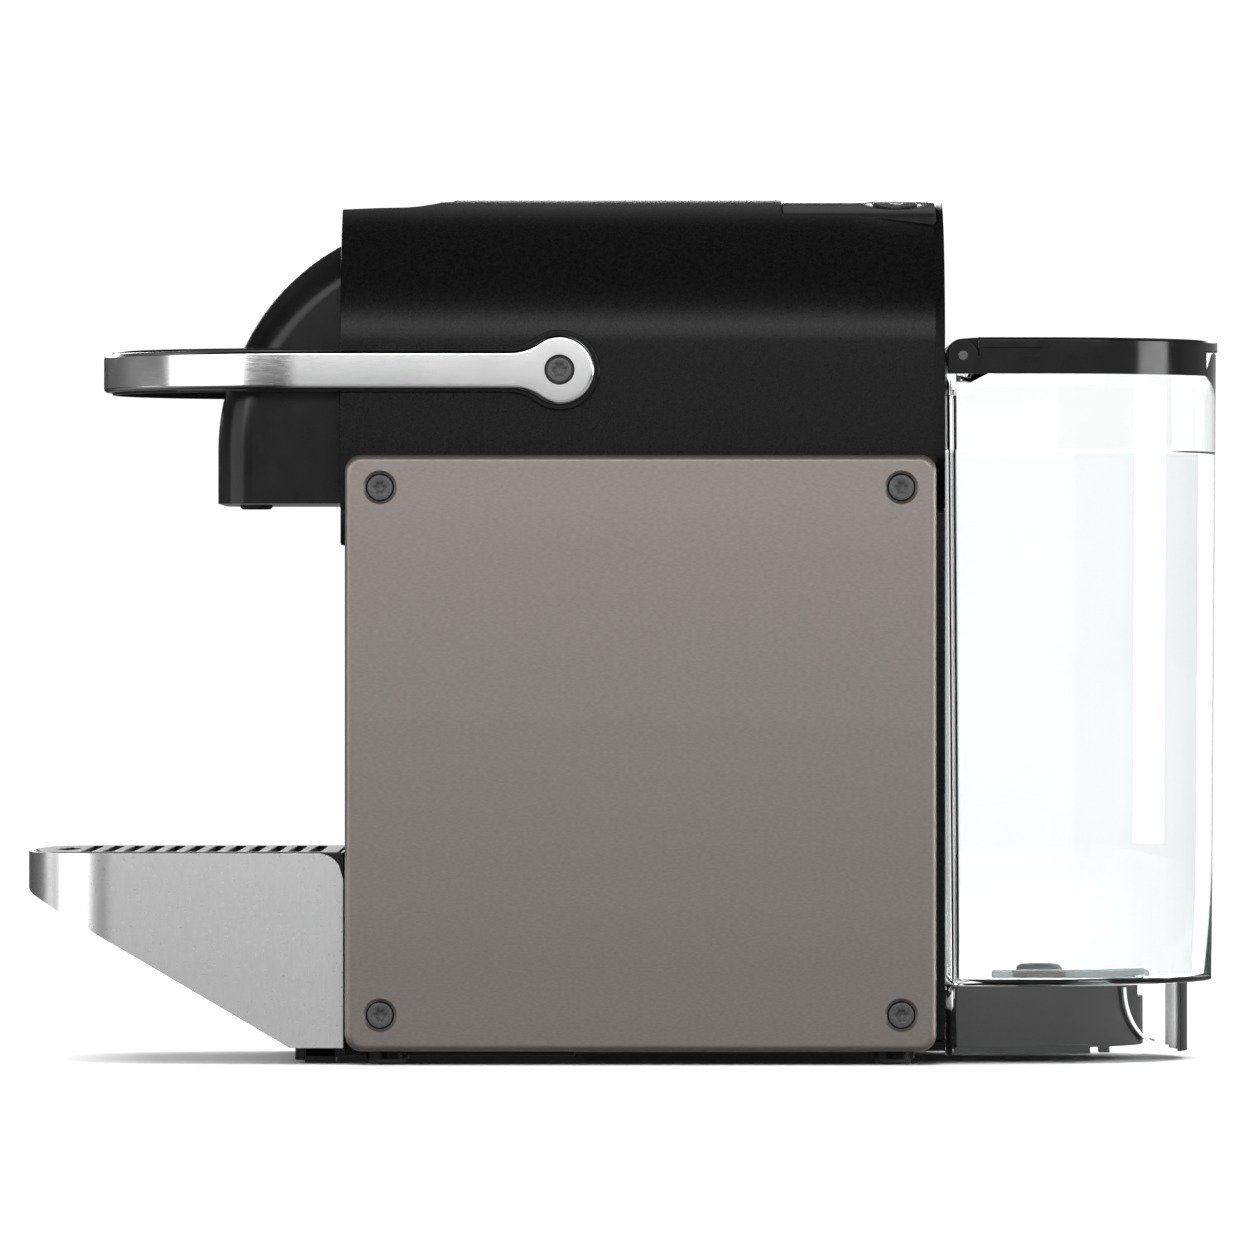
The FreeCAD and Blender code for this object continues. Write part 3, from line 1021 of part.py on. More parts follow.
doc.recompute()
for item in doc.Objects:
    if {"Invalid", "Error"} & set(item.State):
        raise RuntimeError(f"{item.Label} failed: {item.State}")
os.makedirs("parts", exist_ok=True)
for name, item in nodes.items():
    shape = item.Shape
    if shape.isNull() or not shape.isValid() or shape.Volume <= 0:
        raise RuntimeError(f"{name} has no valid shape")
    shape.exportStep(f"parts/{name}.step")
    room = shape.optimalBoundingBox()
    print(f"{name}: {len(shape.Solids)} solids, {shape.Volume / 1000:.1f} cm3, "
          f"y {room.YMin:.2f} {room.YMax:.2f}, z {room.ZMin:.2f} {room.ZMax:.2f}")
print(len(nodes), "nodes")
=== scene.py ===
"""Looks of the pod coffee machine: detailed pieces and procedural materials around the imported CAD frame.

Lengths inside the functions are millimetres; put() turns them into metres when a mesh is made.
"""
import math

import bmesh
import bpy
from mathutils import Matrix, Vector


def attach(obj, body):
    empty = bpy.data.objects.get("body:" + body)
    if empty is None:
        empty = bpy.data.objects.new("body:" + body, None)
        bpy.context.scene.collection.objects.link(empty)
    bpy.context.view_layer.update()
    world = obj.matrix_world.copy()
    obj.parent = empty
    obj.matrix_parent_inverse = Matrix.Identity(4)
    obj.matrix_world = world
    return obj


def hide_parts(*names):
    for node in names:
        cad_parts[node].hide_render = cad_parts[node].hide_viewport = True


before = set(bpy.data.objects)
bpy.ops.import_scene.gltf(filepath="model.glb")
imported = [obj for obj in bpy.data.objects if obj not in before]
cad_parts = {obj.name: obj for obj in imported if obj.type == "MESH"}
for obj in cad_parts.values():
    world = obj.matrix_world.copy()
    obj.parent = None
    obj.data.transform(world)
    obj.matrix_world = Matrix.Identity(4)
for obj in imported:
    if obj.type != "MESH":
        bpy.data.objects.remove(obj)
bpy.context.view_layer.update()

scene = bpy.context.scene
MM = 0.001


# ---- materials
class Finish:
    """A material under construction: a Principled shader and short calls for the nodes round it."""

    def __init__(self, name, **sockets):
        self.material = bpy.data.materials.new(name)
        self.material.use_nodes = True
        self.tree = self.material.node_tree
        self.shader = self.tree.nodes["Principled BSDF"]
        for socket, value in sockets.items():
            self.shader.inputs[socket.replace("_", " ")].default_value = value
        self.place = self.add("ShaderNodeTexCoord").outputs["Object"]

    def add(self, kind):
        return self.tree.nodes.new(kind)

    def link(self, source, target):
        self.tree.links.new(source, target)

    def noise(self, scale, detail, stretch=(1, 1, 1)):
        """Fractal noise over object space; scale is in cycles per metre."""
        mapping = self.add("ShaderNodeMapping")
        mapping.inputs["Scale"].default_value = stretch
        self.link(self.place, mapping.inputs["Vector"])
        noise = self.add("ShaderNodeTexNoise")
        noise.inputs["Scale"].default_value = scale
        noise.inputs["Detail"].default_value = detail
        noise.inputs["Roughness"].default_value = 0.55
        self.link(mapping.outputs["Vector"], noise.inputs["Vector"])
        return noise.outputs["Fac"]

    def spread(self, source, low, high):
        """Maps the middle of a 0 to 1 source onto a range."""
        ramp = self.add("ShaderNodeMapRange")
        for end, value in (("From Min", 0.3), ("From Max", 0.7), ("To Min", low), ("To Max", high)):
            ramp.inputs[end].default_value = value
        self.link(source, ramp.inputs["Value"])
        return ramp.outputs["Result"]

    def shades(self, source, dark, light, start=0.3, end=0.7):
        """Colour between two shades, driven by a 0 to 1 source."""
        ramp = self.add("ShaderNodeValToRGB")
        for element, at, colour in zip(ramp.color_ramp.elements, (start, end), (dark, light)):
            element.position = at
            element.color = (*colour, 1)
        self.link(source, ramp.inputs["Fac"])
        self.link(ramp.outputs["Color"], self.shader.inputs["Base Color"])

    def bump(self, source, height, strength):
        """Bump from a source; height is in millimetres."""
        bump = self.add("ShaderNodeBump")
        bump.inputs["Strength"].default_value = strength
        bump.inputs["Distance"].default_value = height * MM
        self.link(source, bump.inputs["Height"])
        self.link(bump.outputs["Normal"], self.shader.inputs["Normal"])

    def rough(self, source):
        self.link(source, self.shader.inputs["Roughness"])


def greys(level, dark, light):
    """Two greys round a level, as shares of it."""
    return (level * dark,) * 3, (level * light,) * 3


def surface(name, tone_noise, tones, rough_noise=None, rough=(0, 0), bump_noise=None, bump=(0, 0),
            limits=(0.3, 0.7), **sockets):
    """A finish from noises (scale, detail, stretch): two tones, a roughness range, bump height, strength."""
    f = Finish(name, **sockets)
    f.shades(f.noise(*tone_noise), *tones, *limits)
    if rough_noise:
        f.rough(f.spread(f.noise(*rough_noise), *rough))
    if bump_noise:
        f.bump(f.noise(*bump_noise), *bump)
    return f.material


def gloss_black(name, low, high):
    """Polished black plastic: a few dust-fine marks and a slightly uneven mould surface."""
    return surface(name, (60, 4), greys(0.005, 0.8, 1.4), (240, 6), (low, high), (45, 2), (0.02, 0.15),
                   Specular_IOR_Level=0.18)


def satin_black(name, level=0.010, low=0.26, high=0.36, shine=0.25):
    """Half-matt moulded plastic."""
    return surface(name, (300, 4), greys(level, 0.8, 1.3), (500, 5), (low, high), (1200, 2), (0.02, 0.3),
                   Specular_IOR_Level=shine)


def coloured(name, dark, light, low=0.35, high=0.5, metallic=0.0):
    """Plain moulded or cast finish of the inner parts."""
    return surface(name, (500, 4), (dark, light), (800, 4), (low, high), (1600, 2), (0.02, 0.3),
                   Metallic=metallic)


def make_materials():
    return {
        # matt moulded plastic with a fine spark-eroded grain
        "grained_black": surface("grained_black", (900, 5), greys(0.0025, 0.75, 1.35), (1400, 3),
                                 (0.25, 0.31), (2600, 2), (0.035, 0.55), Specular_IOR_Level=0.13),
        "gloss_black": gloss_black("gloss_black", 0.10, 0.17),
        "nose_black": gloss_black("nose_gloss", 0.19, 0.25),
        "satin_black": satin_black("satin_black"),
        "stand_black": satin_black("stand_black", 0.004, 0.30, 0.38, 0.03),
        # clear plastic seen along its length: greyer and greener
        "tinted_plastic": surface("tinted_plastic", (40, 2), ((0.30, 0.36, 0.35), (0.40, 0.46, 0.45)),
                                  (60, 3), (0.05, 0.12), Transmission_Weight=0.75, IOR=1.40,
                                  Specular_IOR_Level=0.1),
        # opaque pale grey for the skirt's curved ridge: a painted edge highlight
        "painted_edge_highlight": coloured("painted_edge_highlight", (0.75, 0.76, 0.76), (0.85, 0.86, 0.86), 0.3, 0.4),
        "button_black": satin_black("button_black", 0.010, 0.2, 0.3),
        # warm grey metallic finish, blasted fine, with a barely visible drawn grain
        "titanium": surface("titanium", (2200, 4, (1, 0.35, 1)),
                            ((0.198, 0.178, 0.166), (0.222, 0.200, 0.186)), (700, 6), (0.40, 0.48), (3800, 2),
                            (0.012, 0.5), (0.35, 0.65), Metallic=0.88, Specular_IOR_Level=0.5),
        "satin_silver": surface("satin_silver", (1500, 4, (1, 1, 0.25)),
                                ((0.87, 0.87, 0.875), (0.91, 0.91, 0.915)), (900, 5), (0.27, 0.30), (3600, 2),
                                (0.001, 0.05), Metallic=1.0),
        # satin chrome of the lever: long fine polishing marks along the band
        "chrome": surface("satin_chrome", (80, 4), ((0.71, 0.71, 0.715), (0.77, 0.77, 0.775)),
                          (1800, 5, (0.2, 0.2, 2.5)), (0.13, 0.20), (2400, 2, (0.1, 0.1, 3)), (0.004, 0.3),
                          Metallic=1.0),
        "steel": surface("steel", (600, 4), greys(0.56, 0.9, 1.1), (900, 5), (0.24, 0.36), (1500, 2),
                         (0.01, 0.4), Metallic=1.0),
        "dark_screw": surface("dark_screw", (1200, 4), ((0.045, 0.045, 0.047), (0.065, 0.065, 0.067)),
                              (1600, 4), (0.40, 0.55), (3000, 2), (0.012, 0.5), Metallic=0.35),
        "rubber": surface("rubber", (700, 5), greys(0.014, 0.8, 1.3), (900, 4), (0.62, 0.78), (2200, 3),
                          (0.03, 0.5)),
        # pale grey printed icon ink
        "icon_ink": surface("icon_ink", (900, 3), ((0.60, 0.60, 0.60), (0.72, 0.72, 0.72)), (900, 3),
                            (0.45, 0.6)),
        # clear moulded plastic with a faint cool tint and a slightly uneven polish
        "clear_plastic": surface("clear_plastic", (25, 2), ((0.965, 0.975, 0.975), (0.99, 0.995, 0.995)),
                                 (40, 3), (0.0, 0.02), Transmission_Weight=1.0, IOR=1.40,
                                 Specular_IOR_Level=0.06),
        "water": surface("water", (12, 2), ((0.955, 0.98, 0.985), (0.975, 0.99, 0.995)),
                         Transmission_Weight=1.0, IOR=1.33, Roughness=0.0),
        "hose": coloured("hose", (0.55, 0.56, 0.56), (0.65, 0.66, 0.66), 0.3, 0.45),
        "red_rubber": coloured("red_rubber", (0.36, 0.02, 0.025), (0.46, 0.03, 0.035), 0.4, 0.5),
        "valve_grey": coloured("valve_grey", (0.045, 0.055, 0.05), (0.07, 0.08, 0.075)),
        "cast_aluminium": coloured("cast_aluminium", (0.52, 0.53, 0.54), (0.66, 0.67, 0.68), 0.4, 0.55, 1.0),
        "brass": coloured("brass", (0.55, 0.40, 0.16), (0.68, 0.50, 0.22), 0.25, 0.4, 1.0),
        "pump_shell": coloured("pump_shell", (0.14, 0.15, 0.16), (0.20, 0.21, 0.22), 0.4, 0.5),
        "meter_white": coloured("meter_white", (0.62, 0.62, 0.60), (0.72, 0.72, 0.70)),
        "board_green": coloured("board_green", (0.02, 0.10, 0.045), (0.03, 0.14, 0.06)),
    }


# ---- mesh helpers
def put(name, verts, faces, material, angle=32):
    """A new object from points in millimetres, welded and with its normals outwards."""
    mesh = bpy.data.meshes.new(name)
    mesh.from_pydata([Vector(v) * MM for v in verts], [], faces)
    work = bmesh.new()
    work.from_mesh(mesh)
    bmesh.ops.remove_doubles(work, verts=work.verts, dist=0.004 * MM)
    bmesh.ops.dissolve_degenerate(work, edges=work.edges, dist=0.002 * MM)
    bmesh.ops.recalc_face_normals(work, faces=work.faces)
    work.to_mesh(mesh)
    work.free()
    mesh.shade_smooth()
    mesh.set_sharp_from_angle(angle=math.radians(angle))
    obj = bpy.data.objects.new(name, mesh)
    scene.collection.objects.link(obj)
    obj.data.materials.append(material)
    return obj


def soften(obj, width, segments=3, angle=32):
    """Rounds the hard edges by a bevel of width millimetres and weights the normals by face."""
    bevel = obj.modifiers.new("edges", "BEVEL")
    bevel.width = width * MM
    bevel.segments = segments
    bevel.limit_method = "ANGLE"
    bevel.angle_limit = math.radians(angle)
    bevel.harden_normals = True
    bevel.use_clamp_overlap = True
    return obj


def even_normals(obj):
    weighted = obj.modifiers.new("normals", "WEIGHTED_NORMAL")
    weighted.keep_sharp = True
    weighted.weight = 80
    return obj


def carve(obj, *tools, operation="DIFFERENCE"):
    """Cuts closed tools out of a closed object, or keeps what they share, and deletes the tools."""
    for tool in tools:
        step = obj.modifiers.new("carve", "BOOLEAN")
        step.operation = operation
        step.solver = "EXACT"
        step.object = tool
    bpy.context.view_layer.update()
    graph = bpy.context.evaluated_depsgraph_get()
    made = bpy.data.meshes.new_from_object(obj.evaluated_get(graph), depsgraph=graph)
    obj.modifiers.clear()
    obj.data = made
    for tool in tools:
        bpy.data.objects.remove(tool)
    return obj


def joined(name, *objs):
    """One object from several, each mesh kept as it is."""
    work = bmesh.new()
    graph = bpy.context.evaluated_depsgraph_get()
    materials = []
    for obj in objs:
        mesh = bpy.data.meshes.new_from_object(obj.evaluated_get(graph), depsgraph=graph)
        for slot in obj.data.materials:
            if slot not in materials:
                materials.append(slot)
        index = materials.index(obj.data.materials[0])
        first = len(work.faces)
        work.from_mesh(mesh)
        work.faces.ensure_lookup_table()
        for face in work.faces[first:]:
            face.material_index = index
    mesh = bpy.data.meshes.new(name)
    work.to_mesh(mesh)
    work.free()
    for material in materials:
        mesh.materials.append(material)
    for obj in objs:
        bpy.data.objects.remove(obj)
    made = bpy.data.objects.new(name, mesh)
    scene.collection.objects.link(made)
    return made


def grid_faces(rows, columns, start=0, closed=False):
    """Quads between rows of points; closed joins the last row's ends."""
    faces = []
    wide = columns if closed else columns - 1
    for r in range(rows - 1):
        for c in range(wide):
            a = start + r * columns + c
            b = start + r * columns + (c + 1) % columns
            faces.append((a, b, b + columns, a + columns))
    return faces


def loft(name, loops, material, angle=32):
    """Closed loops of equal length, joined by quads, with an n-gon at each end."""
    count = len(loops[0])
    verts = [p for loop in loops for p in loop]
    faces = grid_faces(len(loops), count, closed=True)
    faces.append(tuple(reversed(range(count))))
    faces.append(tuple(range((len(loops) - 1) * count, len(loops) * count)))
    return put(name, verts, faces, material, angle)


def raised(outline, height, axis="z"):
    """An outline at a height along an axis; its numbers are the other two coordinates, in order."""
    at = "xyz".index(axis)
    return [point[:at] + (height,) + point[at:] for point in map(tuple, outline)]


def slab(name, outline, heights, material, angle=32, axis="z"):
    """An outline lofted through heights along an axis."""
    return loft(name, [raised(outline, height, axis) for height in heights], material, angle)


def lathe(name, profile, axis, centre, material, steps=64, angle=32):
    """A turned piece: profile is (radius, height) pairs, axis is x, y or z, centre the axis's foot."""
    turn = {"z": Matrix.Identity(3), "x": Matrix(((0, 0, 1), (1, 0, 0), (0, 1, 0))),
            "y": Matrix(((1, 0, 0), (0, 0, 1), (0, 1, 0)))}[axis]
    loops = []
    for radius, height in profile:
        ring = []
        for k in range(steps):
            a = 2 * math.pi * k / steps
            flat = Vector((max(radius, 0.0005) * math.cos(a), max(radius, 0.0005) * math.sin(a), height))
            ring.append(turn @ flat + Vector(centre))
        loops.append(ring)
    return loft(name, loops, material, angle=angle)


def block(name, low, high, material):
    corners = [(low[0], low[1]), (high[0], low[1]), (high[0], high[1]), (low[0], high[1])]
    return slab(name, corners, (low[2], high[2]), material)


def arc(centre, radius, start, end, steps):
    """Points of a circle's arc, angles in degrees."""
    points = []
    for k in range(steps + 1):
        a = math.radians(start + (end - start) * k / steps)
        points.append((centre[0] + radius * math.cos(a), centre[1] + radius * math.sin(a)))
    return points


def rounded_rectangle(low, high, radius, steps=10):
    """Counter-clockwise outline in a plane."""
    (u0, v0), (u1, v1) = low, high
    r = max(radius, 0.01)
    return (arc((u1 - r, v0 + r), r, -90, 0, steps) + arc((u1 - r, v1 - r), r, 0, 90, steps)
            + arc((u0 + r, v1 - r), r, 90, 180, steps) + arc((u0 + r, v0 + r), r, 180, 270, steps))


def finished(obj, body, nodes):
    """Rides a piece on its body, and hides the CAD nodes that it stands for."""
    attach(obj, body)
    if nodes:
        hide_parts(*nodes)


# ---- shell shape, shared by several pieces
COVER_FRONT, COVER_REAR = -76.5, 86.8
SHOULDER_X, SHOULDER_Z, SHOULDER_R = 11.5, 195.0, 40.0
COVER_TOP, COVER_FOOT, COVER_WALL = 235.0, 150.0, 2.5
DECK_HALF, DECK_FRONT, DECK_REAR = 30.1, 43.0, 85.0
KEY_X, KEY_Y, KEY_R = 20.0, 74.0, 6.0
SCOOP = ((-76.5, 231.7), (-66.0, 232.15), (-58.8, 232.3), (-55.6, 232.6), (-51.7, 233.3), (-49.1, 233.95),
         (-47.2, 234.6), (-45.6, 235.0))


def scoop_height(y):
    """Height of the top of the shell: lower over the capsule slot, then rising to the full height."""
    if y <= SCOOP[0][0]:
        return SCOOP[0][1]
    for (y0, z0), (y1, z1) in zip(SCOOP, SCOOP[1:]):
        if y <= y1:
            return z0 + (z1 - z0) * (y - y0) / (y1 - y0)
    return COVER_TOP


def shoulder_surface(x, drop=0.0):
    """Height of the shell's outside at a width x, a drop below the surface."""
    over = max(abs(x) - SHOULDER_X, 0.0)
    radius = SHOULDER_R - drop
    return SHOULDER_Z + math.sqrt(max(radius ** 2 - over ** 2, 0.0))


def shell_section(y, inset, foot):
    """Right half of the shell's section at y, from the foot up to the middle, inset from the surface."""
    height = min(COVER_TOP, scoop_height(y)) - inset
    radius = SHOULDER_R - inset
    lean = math.asin(min((height - SHOULDER_Z) / radius, 1.0))
    half = SHOULDER_X + radius
    points = [(half, foot), (half, foot + (SHOULDER_Z - foot) * 0.5), (half, SHOULDER_Z)]
    for k in range(1, 37):
        a = lean * k / 36
        points.append((SHOULDER_X + radius * math.cos(a), SHOULDER_Z + radius * math.sin(a)))
    edge = points[-1][0]
    points += [(edge * (1 - k / 4), height) for k in range(1, 5)]
    return points


def shell_solid(name, stations, foot, material):
    """Closed shell body from stations of (y, inset)."""
    loops = []
    for y, inset in stations:
        right = shell_section(y, inset, foot)
        left = [(-x, z) for x, z in reversed(right[:-1])]
        loops.append([(x, y, z) for x, z in right + left])
    return loft(name, loops, material)


def edge_round(edge, radius, steps=6):
    """Stations of (y, inset) that round the rear end over: the surface is reached one radius inside it."""
    found = []
    for k in range(steps + 1):
        a = math.radians(90 * k / steps)
        found.append((edge - radius * (1 - math.sin(a)), radius * (1 - math.cos(math.pi / 2 - a))))
    return found


def make_cover(mats):
    black = mats["grained_black"]
    ys = [COVER_FRONT + 0.35] + [y for y, _ in SCOOP[1:]] + [-30, 0, 30, 60]
    front = [(COVER_FRONT, 0.35), (COVER_FRONT + 0.1, 0.1)]
    rear = edge_round(COVER_REAR, COVER_WALL)[::-1]
    stations = front + [(y, 0.0) for y in ys] + rear
    stations.sort(key=lambda s: s[0])
    outside = shell_solid("top_shell", stations, COVER_FOOT, black)
    inner_ys = [COVER_FRONT + COVER_WALL] + [y for y, _ in SCOOP[1:]] + [0, 40, COVER_REAR - COVER_WALL]
    hollow = shell_solid("hollow", [(y, COVER_WALL) for y in inner_ys], COVER_FOOT - 5, black)
    slot = slab("slot", rounded_rectangle((-20.5, -73.4), (20.5, -46.3), 2.0, 6), (220, 240), black)
    room = 0.15
    low, high = (-DECK_HALF - room, DECK_FRONT - room), (DECK_HALF + room, DECK_REAR + room)
    pocket = slab("pocket", rounded_rectangle(low, high, 1.2, 5), (215, 240), black)
    carve(outside, hollow, slot, pocket)
    soften(outside, 0.25, 2, 40)
    even_normals(outside)
    # the front wall continues as a short apron under the shell
    outline = rounded_rectangle((-49.5, 140.2), (49.5, 152.0), 2.0, 5)
    apron = slab("apron", outline, (COVER_FRONT, COVER_FRONT + 2), black, axis="y")
    soften(apron, 0.3, 2, 40)
    finished(joined("shell", outside, apron), "machine", ["top_cover"])


def make_deck(mats):
    """Control panel let into the rear of the shell, and its two round keys with cup marks."""
    steps = 60
    xs = [-DECK_HALF + 2 * DECK_HALF * k / steps for k in range(steps + 1)]
    low, high = DECK_FRONT, DECK_REAR
    profile = []
    for y in (low, low + 0.25, low + 0.5, 0.5 * (low + high), high - 0.5, high - 0.25, high):
        sink = max(0.0, 0.3 - min(abs(y - low), abs(y - high)))
        sinks = [sink + 0.25] + [sink] * (steps - 1) + [sink + 0.25]
        top = [(x, y, shoulder_surface(x, 0.5) - down) for x, down in zip(xs, sinks)]
        under = [(x, y, shoulder_surface(x, 2.6)) for x in reversed(xs)]
        profile.append(top + under)
    deck = loft("control_deck", profile, mats["gloss_black"], angle=40)
    hole = [(KEY_R + 0.35, 220), (KEY_R + 0.35, 240)]
    carve(deck, *[lathe("key_hole", hole, "z", (side * KEY_X, KEY_Y, 0), mats["gloss_black"], 96)
                  for side in (-1, 1)])
    even_normals(deck)
    finished(deck, "machine", ["control_panel"])
    for side, size, name, body, node in ((1, 1.0, "key_lungo", "lungo_key", "lungo_button"),
                                         (-1, 0.72, "key_espresso", "espresso_key", "espresso_button")):
        flat = KEY_R - 0.5
        rings = [(KEY_R, -3.0), (KEY_R, -0.65), (5.93, -0.42), (5.75, -0.26), (flat, -0.2)]
        rings += [(flat * (1 - k / 7), -0.2) for k in range(1, 7)] + [(0.001, -0.2)]
        loops = []
        for radius, drop in rings:
            ring = []
            for k in range(72):
                a = 2 * math.pi * k / 72
                x = side * KEY_X + radius * math.cos(a)
                ring.append((x, KEY_Y + radius * math.sin(a), shoulder_surface(x) + drop))
            loops.append(ring)
        key = loft("key", loops, mats["button_black"], angle=50)
        mark = cup_mark(side * KEY_X, KEY_Y, size, mats["icon_ink"])
        finished(joined(name, key, mark), body, [node])


def cup_mark(x, y, size, material):
    """Outline of a cup with a handle, as thin ink on the curved key, read from the front."""
    verts, faces = [], []

    def stroke(points, width):
        first = len(verts)
        for k, (u, v) in enumerate(points):
            before, after = points[max(k - 1, 0)], points[min(k + 1, len(points) - 1)]
            along = Vector((after[0] - before[0], after[1] - before[1])).normalized()
            side = Vector((-along.y, along.x)) * width / 2
            for sign in (-1, 1):
                px, py = x + (u + sign * side.x) * size, y + (v + sign * side.y) * size
                verts.append((px, py, shoulder_surface(px) - 0.15))
        for k in range(len(points) - 1):
            a = first + 2 * k
            faces.append((a, a + 1, a + 3, a + 2))

    cup = [(-2.0, 1.9), (-2.0, 0.2)] + arc((-0.5, 0.0), 1.5, 180, 270, 8)
    cup += arc((0.5, 0.0), 1.5, 270, 360, 8) + [(2.0, 0.2), (2.0, 1.9)]
    stroke(cup, 0.28)
    stroke([(-2.14, 1.9), (2.14, 1.9)], 0.28)
    stroke(arc((2.1, 0.75), 0.85, 75, -75, 10), 0.26)
    return put("cup_mark", verts, faces, material)


def make_shutter(mats):
    """Sliding door in the capsule slot, with three finger ribs."""
    black = mats["satin_black"]
    outline = rounded_rectangle((-22.0, -73.8), (22.0, -45.1), 1.2, 4)
    door = slab("shutter_door", outline, (227.6, 229.2), black)
    soften(door, 0.25, 2, 40)
    pieces = [door]
    for k in range(3):
        y = -70.4 + 2.2 * k
        outline = rounded_rectangle((-12.0, y - 0.45), (12.0, y + 0.45), 0.44, 5)
        rib = slab("shutter_rib", outline, (229.0, 229.75), black)
        soften(rib, 0.2, 2, 40)
        pieces.append(rib)
    finished(joined("slot_door", *pieces), "shutter", ["slot_shutter"])


# ---- side panels and their screws
SCREW_Y, SCREW_Z, SCREW_R = (-65.7, 74.9), (13.4, 155.7), 3.45


def torx_recess(radius, depth, axis_x, y, z, side, material):
    """Six-lobed recess tool, pointing along X."""
    loops = []
    for sunk, scale in ((-1.0, 1.0), (depth, 1.0), (depth + 0.3, 0.6)):
        x = axis_x - side * sunk
        ring = []
        for k in range(72):
            a = 2 * math.pi * k / 72
            r = radius * scale * (1 + 0.13 * math.cos(6 * a))
            ring.append((x, y + r * math.cos(a), z + r * math.sin(a)))
        loops.append(ring)
    return loft("recess", loops, material)


def screw_head(y, z, low, high, radius, side, material, recess=1.45):
    """Round head with a rolled edge, a flat face and a six-lobed recess; low and high are along X."""
    profile = [(radius * 0.7, low), (radius, low + 0.05), (radius, high - 0.4)]
    for k in range(1, 5):
        a = math.radians(90 * k / 4)
        profile.append((radius - 0.4 * (1 - math.cos(a)), high - 0.4 + 0.4 * math.sin(a)))
    face = high - 0.12
    profile += [(radius * 0.74, high), (radius * 0.70, face), (radius * 0.3, face), (0, face)]
    if side < 0:
        profile = [(r, -h) for r, h in profile]
    head = lathe("screw", profile, "x", (0, y, z), material, 72, 40)
    carve(head, torx_recess(recess, 0.75, side * high, y, z, side, material))
    return head


def make_side_panels(mats):
    for side, node in ((1, "side_panel_right"), (-1, "side_panel_left")):
        low, high, corner, face = (-75.2, 3.6), (84.4, 164.5), 4.5, 55.5
        loops = []
        rows = [(51.7, 0.25), (51.95, 0.0), (face - 1.8, 0.0)]
        rows += [(face - 1.8 + 1.8 * math.sin(math.radians(a)), 1.8 * (1 - math.cos(math.radians(a))))
                 for a in range(10, 91, 10)]
        for x, inset in rows:
            ring = rounded_rectangle((low[0] + inset, low[1] + inset), (high[0] - inset, high[1] - inset),
                                     corner - inset * 0.75, 12)
            loops.append([(side * x, y, z) for y, z in ring])
        panel = loft("panel", loops, mats["titanium"], angle=50)
        dish = [(3.75, 50.0), (3.75, 54.75), (4.0, 54.95), (4.55, face - 0.02), (4.75, face + 0.3)]
        dish = [(r, side * x) for r, x in dish]
        carve(panel, *[lathe("dish", dish, "x", (0, y, z), mats["titanium"], 96)
                       for y in SCREW_Y for z in SCREW_Z])
        even_normals(panel)
        finished(panel, "machine", [node])
    screws = [screw_head(y, z, 52.2, 55.3, SCREW_R, side, mats["dark_screw"])
              for side in (-1, 1) for y in SCREW_Y for z in SCREW_Z]
    finished(joined("panel_screws", *screws), "machine", ["side_panel_screws"])


# ---- front nose and spout
NOSE_Y, NOSE_Z, NOSE_R, NOSE_HALF, NOSE_FOOT, NOSE_EDGE = -46.5, 165.7, 63.6, 43.0, 151.5, 10.0
SPOUT_Y = -100.8


def nose_point(share, drop):
    """Point of the nose's front curve, share 0 at the foot to 1 at the shell, a drop inside the surface."""
    radius = NOSE_R - drop
    straight = 0.16
    if share < straight:
        z = NOSE_FOOT + (NOSE_Z - NOSE_FOOT) * share / straight
        return (NOSE_Y - radius, z)
    end = math.acos((COVER_FRONT - NOSE_Y) / radius)
    a = math.pi + (end - math.pi) * (share - straight) / (1 - straight)
    return (NOSE_Y + radius * math.cos(a), NOSE_Z + radius * math.sin(a))


def make_nose(mats):
    """Rounded front head: a curved front rolled into flat cheeks by an even edge radius."""
    across = []
    for k in range(13):
        a = math.radians(90 * k / 12)
        across.append((NOSE_HALF - NOSE_EDGE + NOSE_EDGE * math.cos(a), NOSE_EDGE * (1 - math.sin(a))))
    across += [((NOSE_HALF - NOSE_EDGE) * (1 - k / 6), 0.0) for k in range(1, 7)]
    across += [(-x, d) for x, d in reversed(across[:-1])]
    rows = 72
    verts, faces = [], []
    for r in range(rows + 1):
        for x, drop in across:
            y, z = nose_point(r / rows, drop)
            verts.append((x, y, z))
    faces += grid_faces(rows + 1, len(across))
    count = len(across)
    top_row = rows * count
    for side, column in ((1, 0), (-1, count - 1)):
        spine = [r * count + column for r in range(rows + 1)]
        corner = len(verts)
        verts.append((side * NOSE_HALF, COVER_FRONT, NOSE_FOOT))
        faces.append(tuple(spine + [corner]))
    right, left = len(verts) - 2, len(verts) - 1
    faces.append(tuple(range(count)) + (left, right))
    faces.append(tuple(range(top_row, top_row + count)) + (left, right))
    nose = put("nose", verts, faces, mats["nose_black"], 40)
    carve(nose, lathe("bore", [(4.7, 140), (4.7, 156)], "z", (0, SPOUT_Y, 0), mats["nose_black"], 64))
    soften(nose, 0.5, 3, 40)
    even_normals(nose)
    finished(nose, "machine", ["front_nose"])
    spout = [(2.1, 157.6), (4.35, 157.6), (4.5, 157.2), (4.5, 151.3), (4.3, 150.7), (3.9, 150.35),
             (3.5, 150.3), (2.6, 150.3), (2.2, 150.7), (2.1, 151.6)]
    ring = lathe("spout", spout + [spout[0]], "z", (0, SPOUT_Y, 0), mats["satin_black"], 72, 45)
    finished(ring, "machine", ["coffee_spout"])


# ---- lever
PIVOT_Y, PIVOT_Z, BEND_Y = -17.3, 187.45, -87.15


